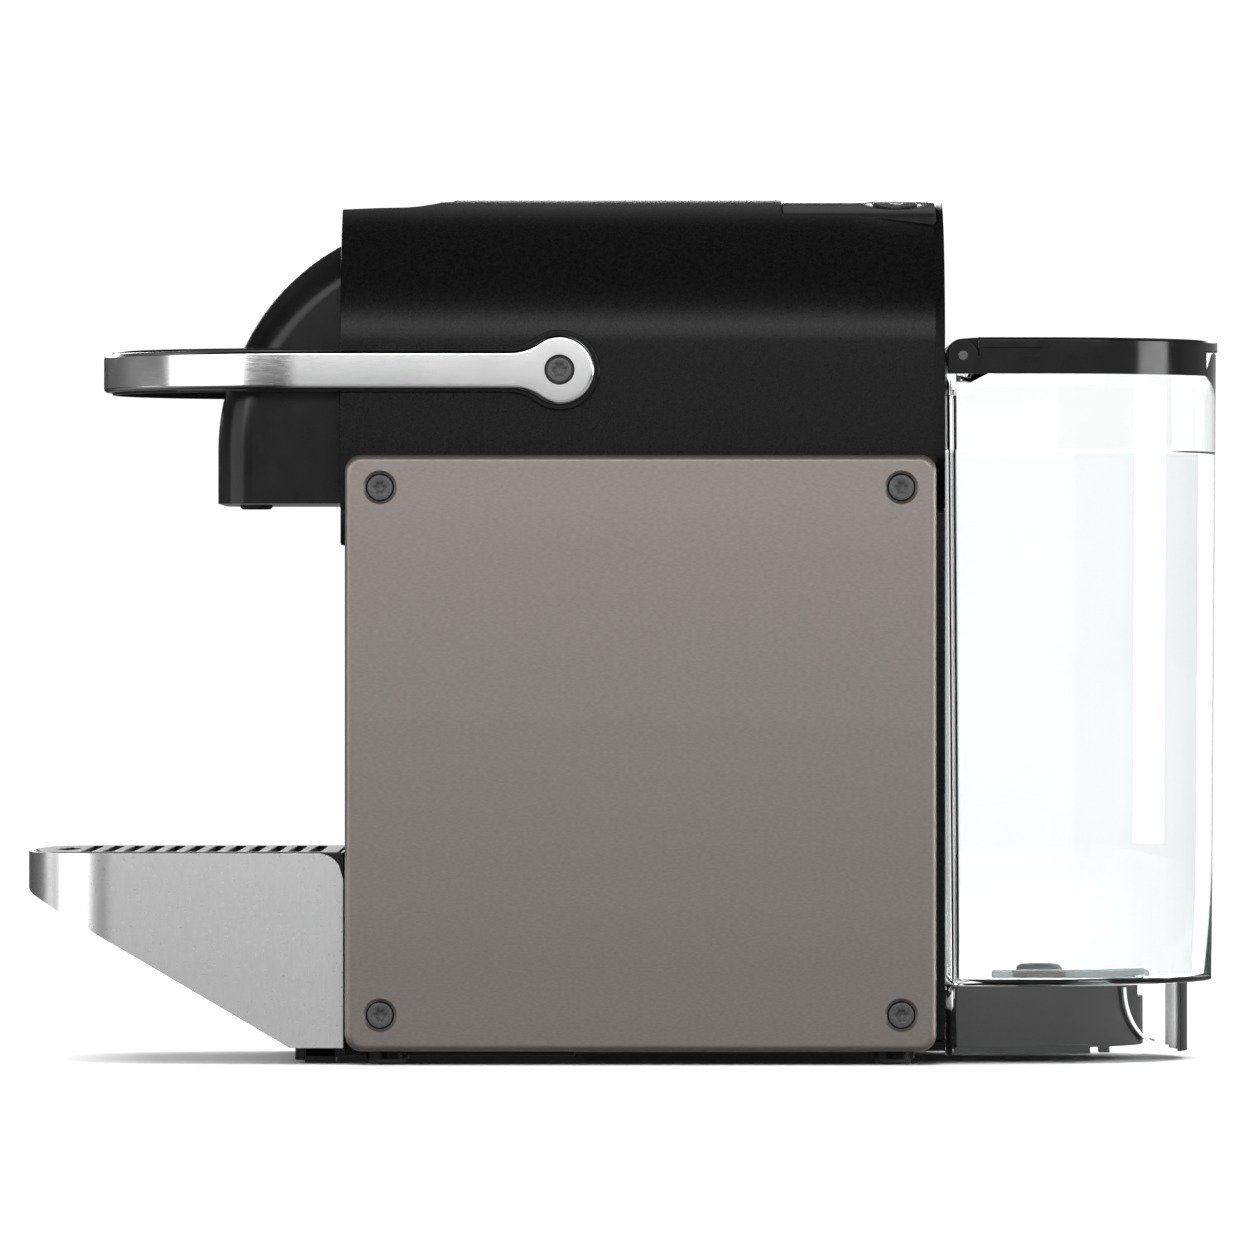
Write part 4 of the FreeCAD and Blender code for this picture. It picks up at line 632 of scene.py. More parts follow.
def lever_half(height, eye, bore, flare):
    """Upper outline of the arm, from the eye's far end to the tip: (along, up) pairs with inner partners."""
    half = height / 2
    # a fillet of radius flare touches the eye's circle and the arm's edge
    reach = math.sqrt((eye + flare) ** 2 - (half + flare) ** 2)
    touch = math.degrees(math.atan2(half + flare, reach))
    outline = []
    for k in range(31):
        a = math.radians(180 - (180 - touch) * k / 30)
        c, d = math.cos(a), math.sin(a)
        outline.append(((eye * c, eye * d), (bore * c, bore * d), True))
    for k in range(1, 11):
        a = math.radians(touch + 180 + (270 - touch - 180) * k / 10)
        point = (reach + flare * math.cos(a), half + flare + flare * math.sin(a))
        b = math.radians(touch * (1 - k / 10))
        outline.append((point, (bore * math.cos(b), bore * math.sin(b)), True))
    arm = PIVOT_Y - BEND_Y
    for k in range(1, 9):
        s = reach + (arm - reach) * k / 8
        outline.append(((s, half), (s, 0.0), False))
    steps = 46
    for k in range(1, steps + 1):
        outline.append(((arm + 90.0 * k / steps, half), (arm + 90.0 * k / steps, 0.0), False))
    return outline, arm


def lever_place(s, t, z, arm, side):
    """Along the arm, then round the bend; past the arm's end s counts degrees."""
    if s <= arm:
        return (side * t, PIVOT_Y - s, PIVOT_Z + z)
    a = math.radians(s - arm)
    return (side * t * math.cos(a), BEND_Y - t * math.sin(a), PIVOT_Z + z)


def band(name, low, high, height, eye, bore, flare, bevel, material):
    """Flat band bent into a U with an eye at each end and rolled outer edges."""
    outline, arm = lever_half(height, eye, bore, flare)
    rows = [("inner", low), (bevel * 0.25, low), (0.0, low + bevel * 0.25), (0.0, high - bevel)]
    rows += [(bevel * (1 - math.cos(math.radians(a))), high - bevel + bevel * math.sin(math.radians(a)))
             for a in (18, 36, 54, 72, 90)]
    rows += [("inner", high)]
    verts, faces = [], []
    for side in (-1, 1):
        for up in (-1, 1):
            first = len(verts)
            for inset, t in rows:
                for k, (edge, inner, _) in enumerate(outline):
                    if inset == "inner":
                        s, z = inner
                    else:
                        before = outline[max(k - 1, 0)][0]
                        after = outline[min(k + 1, len(outline) - 1)][0]
                        if k == 0:
                            normal = Vector((-1, 0))
                        elif edge[0] > arm - 0.01:
                            normal = Vector((0, 1))
                        else:
                            along = Vector((after[0] - before[0], after[1] - before[1])).normalized()
                            normal = Vector((-along.y, along.x))
                        s, z = edge[0] - normal.x * inset, edge[1] - normal.y * inset
                    verts.append(lever_place(s, t, up * z, arm, side))
            faces += grid_faces(len(rows), len(outline), first)
            last = first + (len(rows) - 1) * len(outline)
            for k in range(len(outline) - 1):
                if outline[k][2] and outline[k + 1][2]:
                    faces.append((first + k, last + k, last + k + 1, first + k + 1))
    return put(name, verts, faces, material, 35)


def make_lever(mats):
    skin = band("lever_band", 53.2, 55.5, 10.4, 9.5, 4.1, 14.0, 1.15, mats["chrome"])
    even_normals(skin)
    finished(skin, "lever_arm", ["lever"])
    liner = band("lever_lining", 52.1, 53.2, 11.8, 10.8, 4.1, 14.0, 0.35, mats["gloss_black"])
    even_normals(liner)
    finished(liner, "lever_arm", ["lever_liner"])
    screws = []
    for side in (-1, 1):
        screws.append(screw_head(PIVOT_Y, PIVOT_Z, 52.6, 55.0, SCREW_R, side, mats["dark_screw"], 1.7))
        ring = [(3.5, 53.3), (4.08, 53.3), (4.08, 54.6), (3.5, 54.6), (3.5, 53.3)]
        ring = [(r, side * x) for r, x in ring]
        screws.append(lathe("collar", ring, "x", (0, PIVOT_Y, PIVOT_Z), mats["satin_black"], 72))
    finished(joined("lever_screw_heads", *screws), "lever_arm", ["lever_screws"])


# ---- drip unit
TRAY_TIP, TRAY_REAR, TRAY_HALF, TRAY_CORNER, TRAY_BOW = -162.98, -75.8, 49.0, 23.0, 212.0
TRAY_TOP, TRAY_LIP, TRAY_HEEL, TRAY_FOOT = 56.9, 47.0, -90.3, 4.3
GRID_FOOT, GRID_TOP, GRID_SLOTS, GRID_PITCH = 54.4, 57.2, 12, 5.65
MOUTH_Y, MOUTH_HALF, MOUTH_R = -152.2, 22.0, 75.0
BIN_HALF, BIN_FRONT, BIN_REAR, BIN_FOOT, BIN_TOP = 46.0, -75.3, -13.3, 7.6, 139.4


def tray_outline(inset, rear, steps=14):
    """Right half of the tray's outline in plan, from the rear to the middle of the bowed front."""
    half, corner, bow = TRAY_HALF - inset, TRAY_CORNER - inset, TRAY_BOW - inset
    bow_y = TRAY_TIP + TRAY_BOW
    corner_x = half - corner
    corner_y = bow_y - math.sqrt((bow - corner) ** 2 - corner_x ** 2)
    meet = math.degrees(math.atan2(corner_x, bow_y - corner_y))
    points = [(half, rear - back) for back in (0, 1.2, 2.4, 3.6, 4.8, 6.0, 7.0, 14.5)]
    points += [(half, -105.0), (half, -125.0)]
    points += arc((corner_x, corner_y), corner, 0, -(90 - meet), steps * 2)
    points += arc((0, bow_y), bow, -(90 - meet), -90, steps)[1:]
    return points


def tray_solid(name, inset, rear, top, rear_round, raise_by, material):
    """Closed block with the tray's plan and its slanting underside."""
    slope = (TRAY_FOOT - TRAY_LIP) / (TRAY_HEEL - TRAY_TIP)
    loops = []
    for x, y in tray_outline(inset, rear):
        low = TRAY_LIP + slope * (y - TRAY_TIP) if y < TRAY_HEEL else TRAY_FOOT
        high = top
        gap = y - (rear - rear_round)
        if rear_round and gap > 0:
            high = top - rear_round + math.sqrt(max(rear_round ** 2 - gap ** 2, 0.0))
        low += raise_by
        rows = [low + (high - low) * t for t in (0, 0.04, 0.3, 0.7, 0.96, 1)]
        loops.append([(x, y, z) for z in rows] + [(-x, y, z) for z in reversed(rows)])
    return loft(name, loops, material, angle=40)


def make_drip_unit(mats):
    silver, black = mats["satin_silver"], mats["satin_black"]
    skin = tray_solid("tray_skin", 0.0, TRAY_REAR, TRAY_TOP, 7.0, 0.0, silver)
    carve(skin, tray_solid("hollow", 1.2, TRAY_REAR + 5, TRAY_TOP + 5, 0.0, 1.4, silver))
    soften(skin, 0.3, 3, 40)
    even_normals(skin)
    finished(skin, "drip_unit", ["drip_tray_cover"])

    tray = tray_solid("tray_body", 1.22, TRAY_REAR, TRAY_TOP + 0.1, 0.0, 1.2, black)
    rebate = tray_solid("rebate", 2.0, TRAY_REAR - 0.8, TRAY_TOP + 5, 0.0, 1.2, black)
    carve(rebate, block("upper", (-60, -170, GRID_FOOT), (60, -70, 70), black), operation="INTERSECT")
    basin = tray_solid("basin", 3.2, TRAY_REAR - 2.0, TRAY_TOP + 5, 0.0, 3.4, black)
    carve(tray, basin, rebate)
    soften(tray, 0.25, 2, 40)
    even_normals(tray)
    finished(tray, "drip_unit", ["drip_tray"])

    outline = tray_outline(2.4, TRAY_REAR - 1.2)
    outline = outline + [(-x, y) for x, y in reversed(outline[:-1])]
    grid = slab("drip_grating", outline, (GRID_FOOT, GRID_TOP), black)
    tools = []
    for k in range(GRID_SLOTS):
        y = TRAY_REAR - 8 - GRID_PITCH * k
        slot = rounded_rectangle((-41.0, y - 1.5), (41.0, y + 1.5), 1.45, 5)
        tools.append(slab("slot", slot, (50, 60), black))
    bow = math.degrees(math.asin(MOUTH_HALF / MOUTH_R))
    rise = MOUTH_R * math.cos(math.radians(bow))
    lens = arc((0, rise + MOUTH_Y), MOUTH_R, -90 - bow, -90 + bow, 16)
    lens += arc((0, -rise + MOUTH_Y), MOUTH_R, 90 - bow, 90 + bow, 16)[1:-1]
    tools.append(slab("mouth", lens, (50, 60), black))
    carve(grid, *tools)
    soften(grid, 0.4, 3, 40)
    even_normals(grid)
    finished(grid, "grid", ["drip_grid"])

    sill = [block("tongue", (-32.0, -75.6, 1.5), (32.0, BIN_REAR, BIN_FOOT), black),
            block("sill", (-40.0, -86.5, 1.5), (40.0, -75.4, 4.2), black),
            block("hook", (-40.0, -89.0, 0.7), (40.0, -86.4, 4.25), black)]
    for low in (30.0, -40.0):
        sill.append(block("foot_block", (low, -86.45, 0.0), (low + 10.0, -77.9, 4.25), black))
    for piece in sill:
        soften(piece, 0.35, 3, 40)
    finished(joined("drip_sledge", *sill), "drip_unit", ["drip_base"])

    black = mats["grained_black"]
    outer = rounded_rectangle((-BIN_HALF, BIN_FRONT), (BIN_HALF, BIN_REAR), 4.0, 8)
    inner = rounded_rectangle((2 - BIN_HALF, BIN_FRONT + 2), (BIN_HALF - 2, BIN_REAR - 2), 2.5, 8)
    loops = [[(x, y, z) for x, y in outer] for z in (BIN_FOOT, BIN_TOP)]
    loops += [[(x, y, z) for x, y in inner] for z in (BIN_TOP, BIN_FOOT + 2)]
    bin_wall = loft("capsule_bin", loops, black)
    soften(bin_wall, 0.4, 3, 40)
    face = block("bin_face", (-51.2, BIN_FRONT, BIN_FOOT), (51.2, -73.35, BIN_TOP), black)
    soften(face, 0.45, 3, 40)
    whole = joined("capsule_bin_and_face", bin_wall, face)
    finished(whole, "drip_unit", ["capsule_container"])


# ---- tank, lid, valve, water
TANK_FRONT, TANK_CENTRE, TANK_TOP, TANK_BOTTOM, TANK_FLOOR = 87.25, 112.6, 193.0, 21.3, 22.9
TAPER = math.tan(math.radians(0.4))
TANK_HALF, TANK_WALL, LID_HALF, LID_SEAM, LID_TOP = 50.0, 2.4, 50.4, 95.5, 196.4
SKIRT_HALF, SKIRT_FOOT, HINGE_Y, HINGE_Z = 42.1, 2.1, 91.7, 191.45
VALVE_PLACE, WATER_LEVEL = (0, 113.0, 0), 166.0


def d_outline(half, front, centre, corner=2.0, steps=64):
    """Flat front with small corner radii, straight sides and a half-round rear."""
    points = arc((-half + corner, front + corner), corner, 180, 270, 5)
    points += arc((half - corner, front + corner), corner, 270, 360, 5)
    return points + arc((0, centre), half, 0, 180, steps)


def tank_loop(z, inset):
    """The tank's outline at a height, inset from its drafted outer wall."""
    draft = (TANK_TOP - z) * TAPER
    corner = max(0.8 - inset * 0.3, 0.5)
    return raised(d_outline(TANK_HALF - draft - inset, TANK_FRONT + draft + inset, TANK_CENTRE, corner), z)


def skirt_line(side, mats):
    """Moulded ridge that curves down the skirt's side, a quarter of an ellipse; its pale grey is a painted
    edge highlight.
    """
    loops = []
    reach, fall, steps = 12.5, 16.4, 24
    for k in range(steps + 1):
        a = math.radians(90 * k / steps)
        y, z = 148.5 - reach * math.cos(a), 20.2 - fall * math.sin(a)
        centre = Vector((math.sqrt((SKIRT_HALF + 0.05) ** 2 - (y - TANK_CENTRE) ** 2), y, z))
        outward = Vector((centre.x, y - TANK_CENTRE, 0)).normalized()
        along = Vector((0, reach * math.sin(a), -fall * math.cos(a))).normalized()
        across = outward.cross(along).normalized()
        ring = [centre + outward * (0.45 * u) + across * (0.4 * v)
                for u, v in ((-1, -1), (0.4, -1), (0.4, 1), (-1, 1))]
        loops.append([(side * p.x, p.y, p.z) for p in ring])
    return loft("skirt_line", loops, mats["painted_edge_highlight"], angle=40)


def make_tank(mats):
    clear = mats["clear_plastic"]
    ring = d_outline(SKIRT_HALF, TANK_FRONT, TANK_CENTRE, 1.5)
    ring_in = d_outline(SKIRT_HALF - 2.0, TANK_FRONT + 2.0, TANK_CENTRE, 1.0)
    loops = [raised(ring_in, z) for z in (20.8, SKIRT_FOOT + 0.2, SKIRT_FOOT)]
    loops += [raised(ring, z) for z in (SKIRT_FOOT, SKIRT_FOOT + 0.4, TANK_BOTTOM)]
    # outer wall upwards, over the rim, inner wall downwards: (height, inset)
    rows = [(TANK_BOTTOM, 0.6), (TANK_BOTTOM + 0.2, 0.2), (TANK_BOTTOM + 0.6, 0.0)]
    rows += [(z, 0.0) for z in (60, 100, 140, 180, TANK_TOP - 0.4)]
    rows += [(TANK_TOP - 0.1, 0.12), (TANK_TOP, 0.4), (TANK_TOP, 2.0), (TANK_TOP - 0.1, 2.28)]
    rows += [(z, TANK_WALL) for z in (TANK_TOP - 0.4, 180, 140, 100, 60, TANK_FLOOR + 0.8)]
    rows += [(TANK_FLOOR + 0.2, 2.6), (TANK_FLOOR, 3.2)]
    tank = loft("clear_tank", loops + [tank_loop(z, inset) for z, inset in rows], clear, angle=40)
    open_front = block("open_front", (-37.5, 80, 0), (37.5, TANK_FRONT + 2.6, 20.6), clear)
    front_step = block("front_step", (-60, 80, 186.4), (60, HINGE_Y + 4.9, 200), clear)
    hole = lathe("valve_hole", [(5.1, 15), (5.1, 26)], "z", VALVE_PLACE, clear, 48)
    carve(tank, open_front, front_step, hole)
    pieces = [tank]
    for low in (-34.0, 22.0):
        ridge = block("ridge", (low, 100, TANK_FLOOR + 0.9), (low + 12, 140, TANK_FLOOR + 3.1),
                      mats["tinted_plastic"])
        pieces.append(soften(ridge, 0.5, 3, 40))
    black = mats["gloss_black"]
    for low, high in ((47.6, 49.9), (-49.9, -47.6)):
        # cheeks that carry the pins: round above, square below
        side = arc((HINGE_Y, HINGE_Z), 4.1, 0, 180, 24) + [(HINGE_Y - 4.1, 186.5), (HINGE_Y + 4.8, 186.5),
                                                           (HINGE_Y + 4.8, HINGE_Z)]
        cheek = slab("cheek", side, (low, high), black, 40, "x")
        pieces.append(soften(cheek, 0.3, 2, 40))
        clip = block("clip", (low, TANK_FRONT + 0.9, 180.5), (high - 0.3, TANK_FRONT + 2.6, 186.6), clear)
        pieces.append(soften(clip, 0.4, 2, 40))
    # black arc just inside the skirt's rear wall: a painted dark reflection
    outer = arc((0, TANK_CENTRE), 42.16, 70, 110, 16)
    inner = arc((0, TANK_CENTRE), 40.0, 110, 70, 16)
    pieces.append(slab("painted_reflection_strip", outer + inner, (2.15, 21.0), black, 40))
    finished(joined("tank_shell", *pieces), "tank", ["water_tank", "tank_skirt"])
    finished(joined("skirt_lines", *[skirt_line(side, mats) for side in (-1, 1)]), "tank", [])
    pin = [(0.0, 42.5), (1.5, 42.5), (1.5, 49.7), (1.2, 50.0), (0.0, 50.0)]
    pins = [lathe("pin", [(r, side * x) for r, x in pin], "x", (0, HINGE_Y, HINGE_Z), mats["dark_screw"], 32)
            for side in (-1, 1)]
    finished(joined("hinge_pins", *pins), "tank", ["lid_hinge_pins"])

    rows = [(TANK_FLOOR + 0.05, 3.2), (TANK_FLOOR + 0.3, 2.5)]
    rows += [(z, 2.3) for z in (TANK_FLOOR + 0.9, 60, 100, 140, WATER_LEVEL)]
    rows += [(WATER_LEVEL - 0.02, 2.9), (WATER_LEVEL - 0.45, 3.6), (WATER_LEVEL - 0.6, 5.0)]
    body = loft("water", [tank_loop(z, inset) for z, inset in rows], mats["water"], angle=60)
    finished(body, "tank", [])


def make_valve(mats):
    body = [(3.1, 20.05), (4.6, 20.05), (4.85, 20.3), (4.9, 22.95), (6.6, 22.95), (6.85, 23.2), (6.85, 23.8),
            (6.6, 23.98), (4.9, 23.98), (4.9, 26.75), (5.6, 26.75), (5.7, 26.95), (5.3, 28.2), (4.4, 28.7),
            (3.2, 28.8), (0, 28.8), (0, 28.2), (3.1, 28.2), (3.1, 20.05)]
    housing = lathe("valve_cap", body, "z", VALVE_PLACE, mats["valve_grey"], 72, 45)
    finished(housing, "tank", ["valve_housing"])
    ring = [(4.92, 24.3)] + [(5.7 + 0.85 * math.sin(math.radians(a)), 25.35 - 1.3 * math.cos(math.radians(a)))
                             for a in range(0, 181, 15)] + [(4.92, 26.4)]
    seal = lathe("red_ring", ring + [ring[0]], "z", VALVE_PLACE, mats["red_rubber"], 72, 50)
    finished(seal, "tank", ["valve_seal"])


def make_lid(mats):
    black = mats["gloss_black"]
    seam, top = LID_SEAM, LID_TOP
    rows = [(193.3, 4.0), (193.3, 0.25), (193.5, 0.0), (top - 0.9, 0.0)]
    rows += [(top - 0.9 + 0.9 * math.sin(math.radians(a)), 0.9 * (1 - math.cos(math.radians(a))))
             for a in (18, 36, 54, 72, 90)]
    loops = [raised(d_outline(LID_HALF - inset, seam + min(inset, 0.3), TANK_CENTRE, 0.8), z)
             for z, inset in rows]
    plate = loft("lid_plate", loops, black, angle=45)
    half = TANK_HALF - TANK_WALL - 0.6
    ring = d_outline(half - 0.6, HINGE_Y + 1.0, TANK_CENTRE, 1.5)
    ring_in = d_outline(half - 2.4, HINGE_Y + 8.0, TANK_CENTRE, 1.5)
    loops = [raised(ring, z) for z in (193.5, 186.9, 186.4)]
    loops += [raised(ring_in, z) for z in (186.4, 186.7, 193.3)]
    plug = loft("lid_plug", loops, black, angle=40)
    soften(plug, 0.2, 2, 40)
    side = arc((HINGE_Y, HINGE_Z), 4.6, 100, 330, 40)
    side += [(seam + 2.9, 193.3), (seam + 2.9, top - 0.45), (seam - 0.1, top - 0.08),
             (HINGE_Y + 0.4, top - 0.3)]
    bridge = slab("lid_bridge", side, (-half, half), black, 45, "x")
    soften(bridge, 0.2, 2, 40)
    pieces = [plate, plug, bridge]
    # thin apron over the tank's top edge, which ends before the back
    outside, within = [[(r, seam + 0.6), (r, TANK_CENTRE)] + arc((0, TANK_CENTRE), r, 0, 67, 30)[1:]
                       for r in (LID_HALF, 50.06)]
    for side in (-1, 1):
        ring = [(side * x, y) for x, y in outside + within[::-1]]
        pieces.append(slab("lid_apron", ring, (186.5, 193.6), black, 40))
    for piece in (plate, bridge):
        even_normals(piece)
    finished(joined("lid", *pieces), "lid", ["tank_lid"])


def make_pedestal(mats):
    """Black stand with two rests, a lowered channel between them, and the round well of the water inlet."""
    black = mats["stand_black"]
    half, rear, deck, top = 34.0, 142.6, 17.0, 20.9
    centre = rear - half
    rows = ((3.8, 2.2), (3.8, 0.3), (4.1, 0.0), (top - 0.6, 0.0), (top - 0.18, 0.18), (top, 0.6))
    loops = [raised(d_outline(half - inset, COVER_REAR + inset * 0.3, centre, 1.0), z) for z, inset in rows]
    stand = loft("stand", loops, black, angle=45)
    inside = slab("inside", d_outline(half - 2.4, 86.0, centre, 1.0), (2.0, 14.6), black)
    channel = block("channel", (-12.0, 80.0, deck), (12.0, 160.0, 30.0), black)
    seat = lathe("seat", [(8.0, 15.2), (8.0, 25.0)], "z", VALVE_PLACE, black, 64)
    carve(stand, inside, channel, seat)
    soften(stand, 0.25, 2, 40)
    even_normals(stand)
    well_rim = [(8.0, 15.2), (8.0, 18.3), (8.2, 18.5), (9.8, 18.5), (10.0, 18.3), (10.0, 13.8), (4.2, 13.8),
                (4.2, 15.2), (8.0, 15.2)]
    pieces = [stand, lathe("well", well_rim, "z", VALVE_PLACE, black, 64)]
    for side in (-1, 1):
        low, high = sorted((side * 31.8, side * 33.9))
        skirting = block("skirting", (low, 87.3, 2.2), (high, 126.5, 4.6), black)
        low, high = sorted((side * 20.0, side * 24.3))
        foot = block("stand_foot", (low, 129.2, 2.2), (high, 132.2, 4.6), black)
        pieces += [soften(skirting, 0.25, 2, 40), soften(foot, 0.3, 2, 40)]
    finished(joined("stand_body", *pieces), "machine", ["tank_pedestal", "tank_rests"])


# ---- base, rear, feet
FOOT_X, FOOT_Y = (-43.0, 43.0), (-63.9, 72.9)
VENTS, VENT_FOOT, VENT_PITCH, VENT_GAP = 7, 118.0, 3.6, 1.6


def make_base(mats):
    feet = []
    profile = [(0, 0.0), (4.3, 0.0), (4.75, 0.15), (5.0, 0.5), (5.0, 1.35), (5.0, 4.9), (0, 4.9)]
    for x in FOOT_X:
        for y in FOOT_Y:
            feet.append(lathe("foot", profile, "z", (x, y, 0), mats["rubber"], 64, 40))
            for k in range(3):
                r = 1.2 + 1.1 * k
                groove = [(r, -0.02), (r + 0.35, -0.02), (r + 0.35, 0.3), (r, 0.3), (r, -0.02)]
                carve(feet[-1], lathe("groove", groove, "z", (x, y, 0), mats["rubber"], 64))
    finished(joined("foot_pads", *feet), "machine", ["rubber_feet"])

    black = mats["grained_black"]
    outline = rounded_rectangle((-51.2, 6.0), (51.2, 150.0), 1.5, 4)
    rear = slab("rear_wall", outline, (COVER_REAR - 2.5, COVER_REAR), black, axis="y")
    tools = []
    for k in range(VENTS):
        z = VENT_FOOT + VENT_PITCH * k
        vent = rounded_rectangle((-24.0, z), (24.0, z + VENT_GAP), 0.78, 4)
        tools.append(slab("vent", vent, (86.0, 90.0), black, axis="y"))
    carve(rear, *tools)
    soften(rear, 0.35, 3, 40)
    even_normals(rear)
    finished(rear, "machine", ["rear_cover"])
    profile = [(3.15, 79.8), (4.35, 79.8), (4.35, 86.5), (4.1, 86.78), (3.4, 86.78), (3.15, 86.5),
               (3.15, 79.8)]
    gland = lathe("cord_bushing", profile, "y", (-45.4, 0, 13.0), mats["rubber"], 48, 40)
    finished(gland, "machine", ["cord_gland"])


def paint_hidden(mats):
    """Inner CAD pieces that stay as they are get procedural finishes by their material slot."""
    by_slot = {"textured_black": "grained_black", "black_plastic": "satin_black", "dark_screws": "dark_screw",
               "feet_rubber": "rubber", "red_seal": "red_rubber", "heater_aluminium": "cast_aluminium",
               "brass_fittings": "brass", "hose_clear": "hose", "titanium_panel": "titanium",
               "silver_cover": "satin_silver", "chrome_trim": "chrome", "clear_tank": "clear_plastic"}
    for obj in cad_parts.values():
        for slot in obj.material_slots:
            name = slot.material.name.split(".")[0]
            slot.material = mats[by_slot.get(name, name)]


# ---- stage, in metres
# glow stops are (direction component, level)
FLOOR, BACKDROP = 1.3, 9.0
NEAR_GLOW = ((-1.0, 0.10), (-0.80, 0.20), (-0.55, 0.50), (-0.28, 0.55), (-0.18, 0.30), (-0.11, 0.04),
             (-0.05, 0.28), (0.03, 0.88), (0.10, 0.58), (0.34, 0.18), (0.60, 0.02), (0.97, 0.0))
FAR_GLOW = ((-1.0, 0.10), (-0.80, 0.20), (-0.55, 0.50), (-0.28, 0.55), (-0.18, 0.30), (-0.08, 0.10),
            (0.0, 0.30), (0.15, 0.14), (0.42, 0.10), (0.66, 0.75), (0.82, 0.50), (0.97, 0.0))
AROUND = ((-1.0, 0.8), (-0.75, 0.36), (-0.50, 0.26), (-0.28, 0.09), (-0.18, 0.09), (-0.06, 1.0), (0.30, 1.0),
          (1.0, 1.0))


def flat_object(name, verts, faces, material):
    mesh = bpy.data.meshes.new(name)
    mesh.from_pydata(verts, [], faces)
    obj = bpy.data.objects.new(name, mesh)
    scene.collection.objects.link(obj)
    obj.data.materials.append(material)
    return obj


def make_stage():
    """Pale floor and a plain white backdrop all round, far outside the lamps."""
    floor_finish = Finish("pale_floor", Roughness=0.9, Specular_IOR_Level=0.1)
    floor_finish.shades(floor_finish.noise(3, 2), (0.92, 0.92, 0.92), (0.94, 0.94, 0.94))
    corners = [(x * FLOOR, y * FLOOR, 0) for x, y in ((-1, -1), (1, -1), (1, 1), (-1, 1))]
    floor = flat_object("floor", corners, [(0, 1, 2, 3)], floor_finish.material)
    floor.location.z = -0.0002
    floor.visible_glossy = False

    glow = bpy.data.materials.new("backdrop_white")
    glow.use_nodes = True
    shader = glow.node_tree.nodes["Principled BSDF"]
    shader.inputs["Base Color"].default_value = (0, 0, 0, 1)
    shader.inputs["Emission Color"].default_value = (1, 1, 1, 1)
    shader.inputs["Emission Strength"].default_value = 1.05
    sides = 64
    turns = [2 * math.pi * k / sides for k in range(sides)]
    verts = [(BACKDROP * math.cos(a), BACKDROP * math.sin(a), z) for z in (-3.0, 6.0) for a in turns]
    walls = [(k, (k + 1) % sides, sides + (k + 1) % sides, sides + k) for k in range(sides)]
    walls.append(tuple(range(sides)))
    backdrop = flat_object("backdrop", verts, walls, glow)
    backdrop.visible_glossy = False
    backdrop.visible_diffuse = False
    backdrop.visible_shadow = False
    make_world()


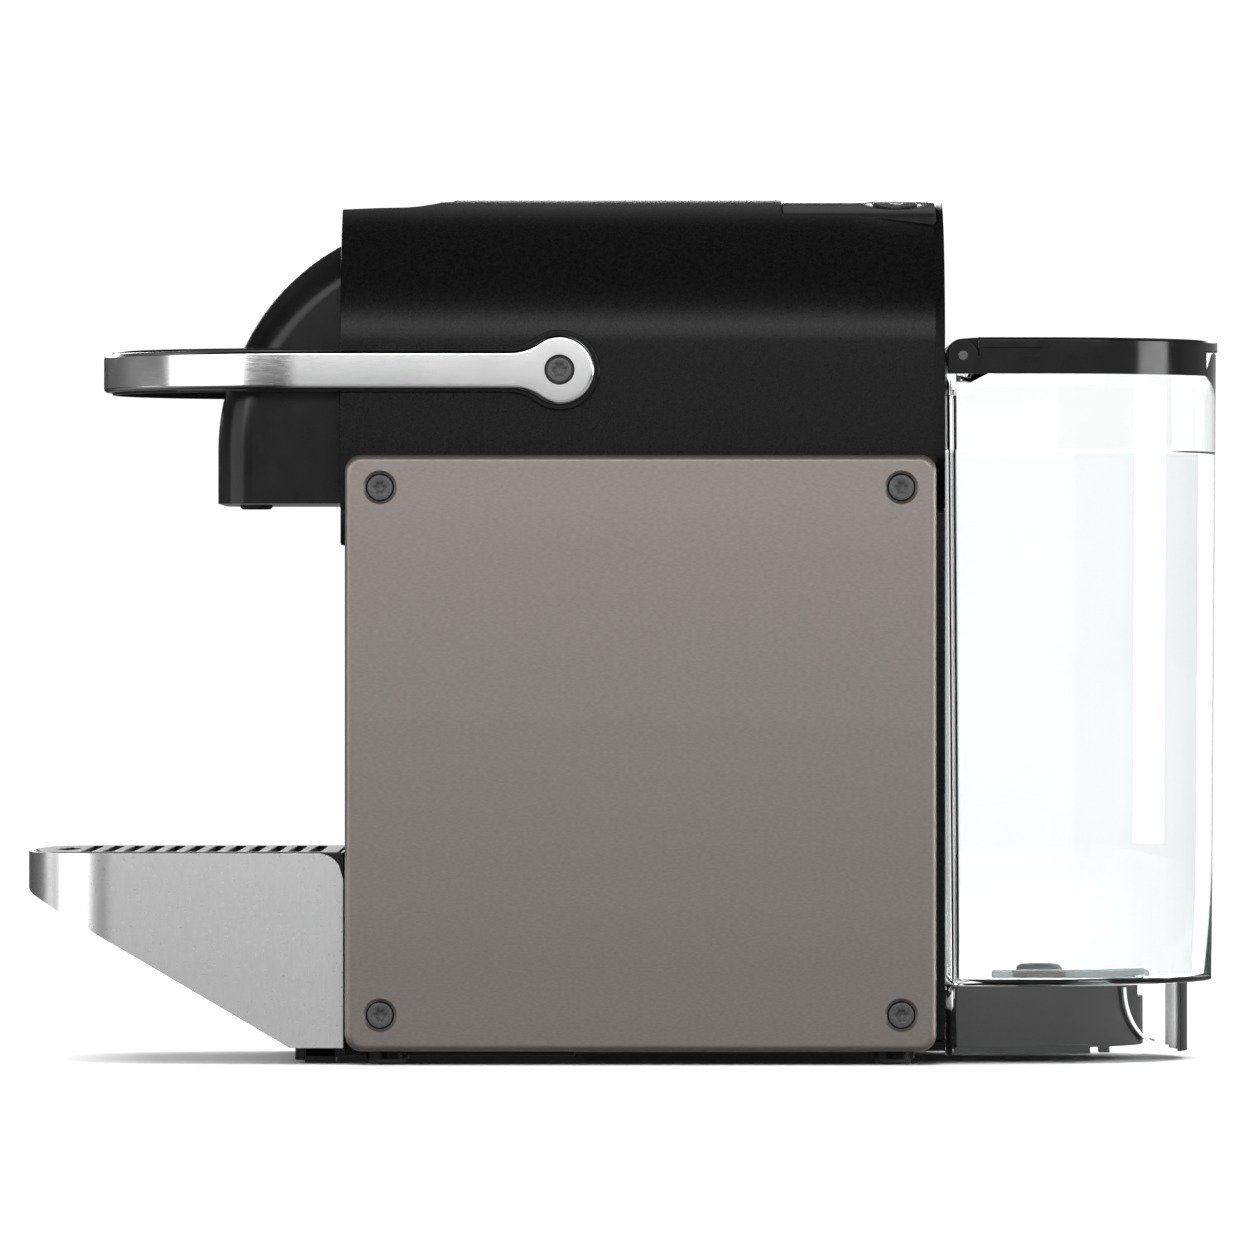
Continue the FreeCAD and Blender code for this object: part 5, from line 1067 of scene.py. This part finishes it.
def make_world():
    """Dark studio with a soft glow low down on both sides, which polished surfaces reflect."""
    world = bpy.data.worlds.new("studio")
    scene.world = world
    world.use_nodes = True
    tree = world.node_tree
    back = tree.nodes["Background"]
    place = tree.nodes.new("ShaderNodeTexCoord")
    split = tree.nodes.new("ShaderNodeSeparateXYZ")
    tree.links.new(place.outputs["Generated"], split.inputs["Vector"])

    def ramp(source, stops):
        """Grey level along one direction component; stops are (component, level)."""
        node = tree.nodes.new("ShaderNodeValToRGB")
        elements = node.color_ramp.elements
        while len(elements) < len(stops):
            elements.new(0.5)
        for element, (component, level) in zip(elements, stops):
            element.position = (component + 1) / 2
            element.color = (level, level, level, 1)
        shift = tree.nodes.new("ShaderNodeMapRange")
        shift.inputs["From Min"].default_value = -1.0
        tree.links.new(split.outputs[source], shift.inputs["Value"])
        tree.links.new(shift.outputs["Result"], node.inputs["Fac"])
        return node.outputs["Color"]

    def mixed(blend, factor, first, second):
        mix = tree.nodes.new("ShaderNodeMix")
        mix.data_type = "RGBA"
        mix.blend_type = blend
        if factor is None:
            mix.inputs["Factor"].default_value = 1.0
        else:
            tree.links.new(factor, mix.inputs["Factor"])
        tree.links.new(first, mix.inputs["A"])
        tree.links.new(second, mix.inputs["B"])
        return mix.outputs["Result"]

    near = ramp("Z", NEAR_GLOW)
    far = ramp("Z", FAR_GLOW)
    side = ramp("X", ((-0.40, 0.3), (-0.15, 0.0), (0.0, 0.0), (0.2, 1.0)))
    around = ramp("Y", AROUND)
    level = mixed("MULTIPLY", None, mixed("MIX", side, far, near), around)
    tree.links.new(level, back.inputs["Color"])
    back.inputs["Strength"].default_value = 1.0


def lamp(name, place, aim, width, height, watts, reflects=True):
    light = bpy.data.lights.new(name, "AREA")
    light.shape = "RECTANGLE"
    light.size, light.size_y, light.energy = width, height, watts
    obj = bpy.data.objects.new(name, light)
    scene.collection.objects.link(obj)
    obj.location = place
    obj.rotation_euler = (Vector(aim) - Vector(place)).to_track_quat("-Z", "Y").to_euler()
    obj.visible_camera = False
    obj.visible_glossy = reflects


def make_lights():
    """Overhead light for the floor, strips above both sides, and softboxes at the corners, front and rear."""
    lamp("softbox_top", (0, 0, 2.3), (0, 0, 0), 3.6, 3.6, 150, reflects=False)
    lamp("softbox_side", (0.95, 0.0, 0.43), (0, 0, 0.14), 2.0, 0.24, 8.4)
    lamp("softbox_front", (0.86, -1.42, 0.27), (0, -0.05, 0.15), 1.35, 0.6, 6.5)
    lamp("softbox_far_side", (-0.95, 0.0, 0.43), (0, 0, 0.14), 2.0, 0.24, 8.4)
    lamp("softbox_far_front", (-0.86, -1.42, 0.27), (0, -0.05, 0.15), 1.35, 0.6, 5.0, reflects=False)
    lamp("softbox_low", (-0.20, -1.6, 0.06), (0, -0.15, 0.05), 0.45, 0.12, 0.32)
    lamp("softbox_rear", (0.32, 1.58, 0.16), (0, 0.1, 0.13), 0.60, 0.30, 7.0)


def make_camera():
    camera = bpy.data.cameras.new("camera")
    camera.lens = 314.6
    camera.sensor_width = 36.0
    camera.clip_end = 50.0
    obj = bpy.data.objects.new("camera", camera)
    scene.collection.objects.link(obj)
    obj.location = (3.0, 0.00037, 0.1186)
    obj.rotation_euler = (math.radians(90), 0, math.radians(90))
    scene.camera = obj


mats = make_materials()
for make in (paint_hidden, make_cover, make_deck, make_shutter, make_side_panels, make_nose, make_lever,
             make_drip_unit, make_tank, make_valve, make_lid, make_pedestal, make_base):
    make(mats)
make_stage()
make_lights()
make_camera()
scene.view_settings.view_transform = "Standard"
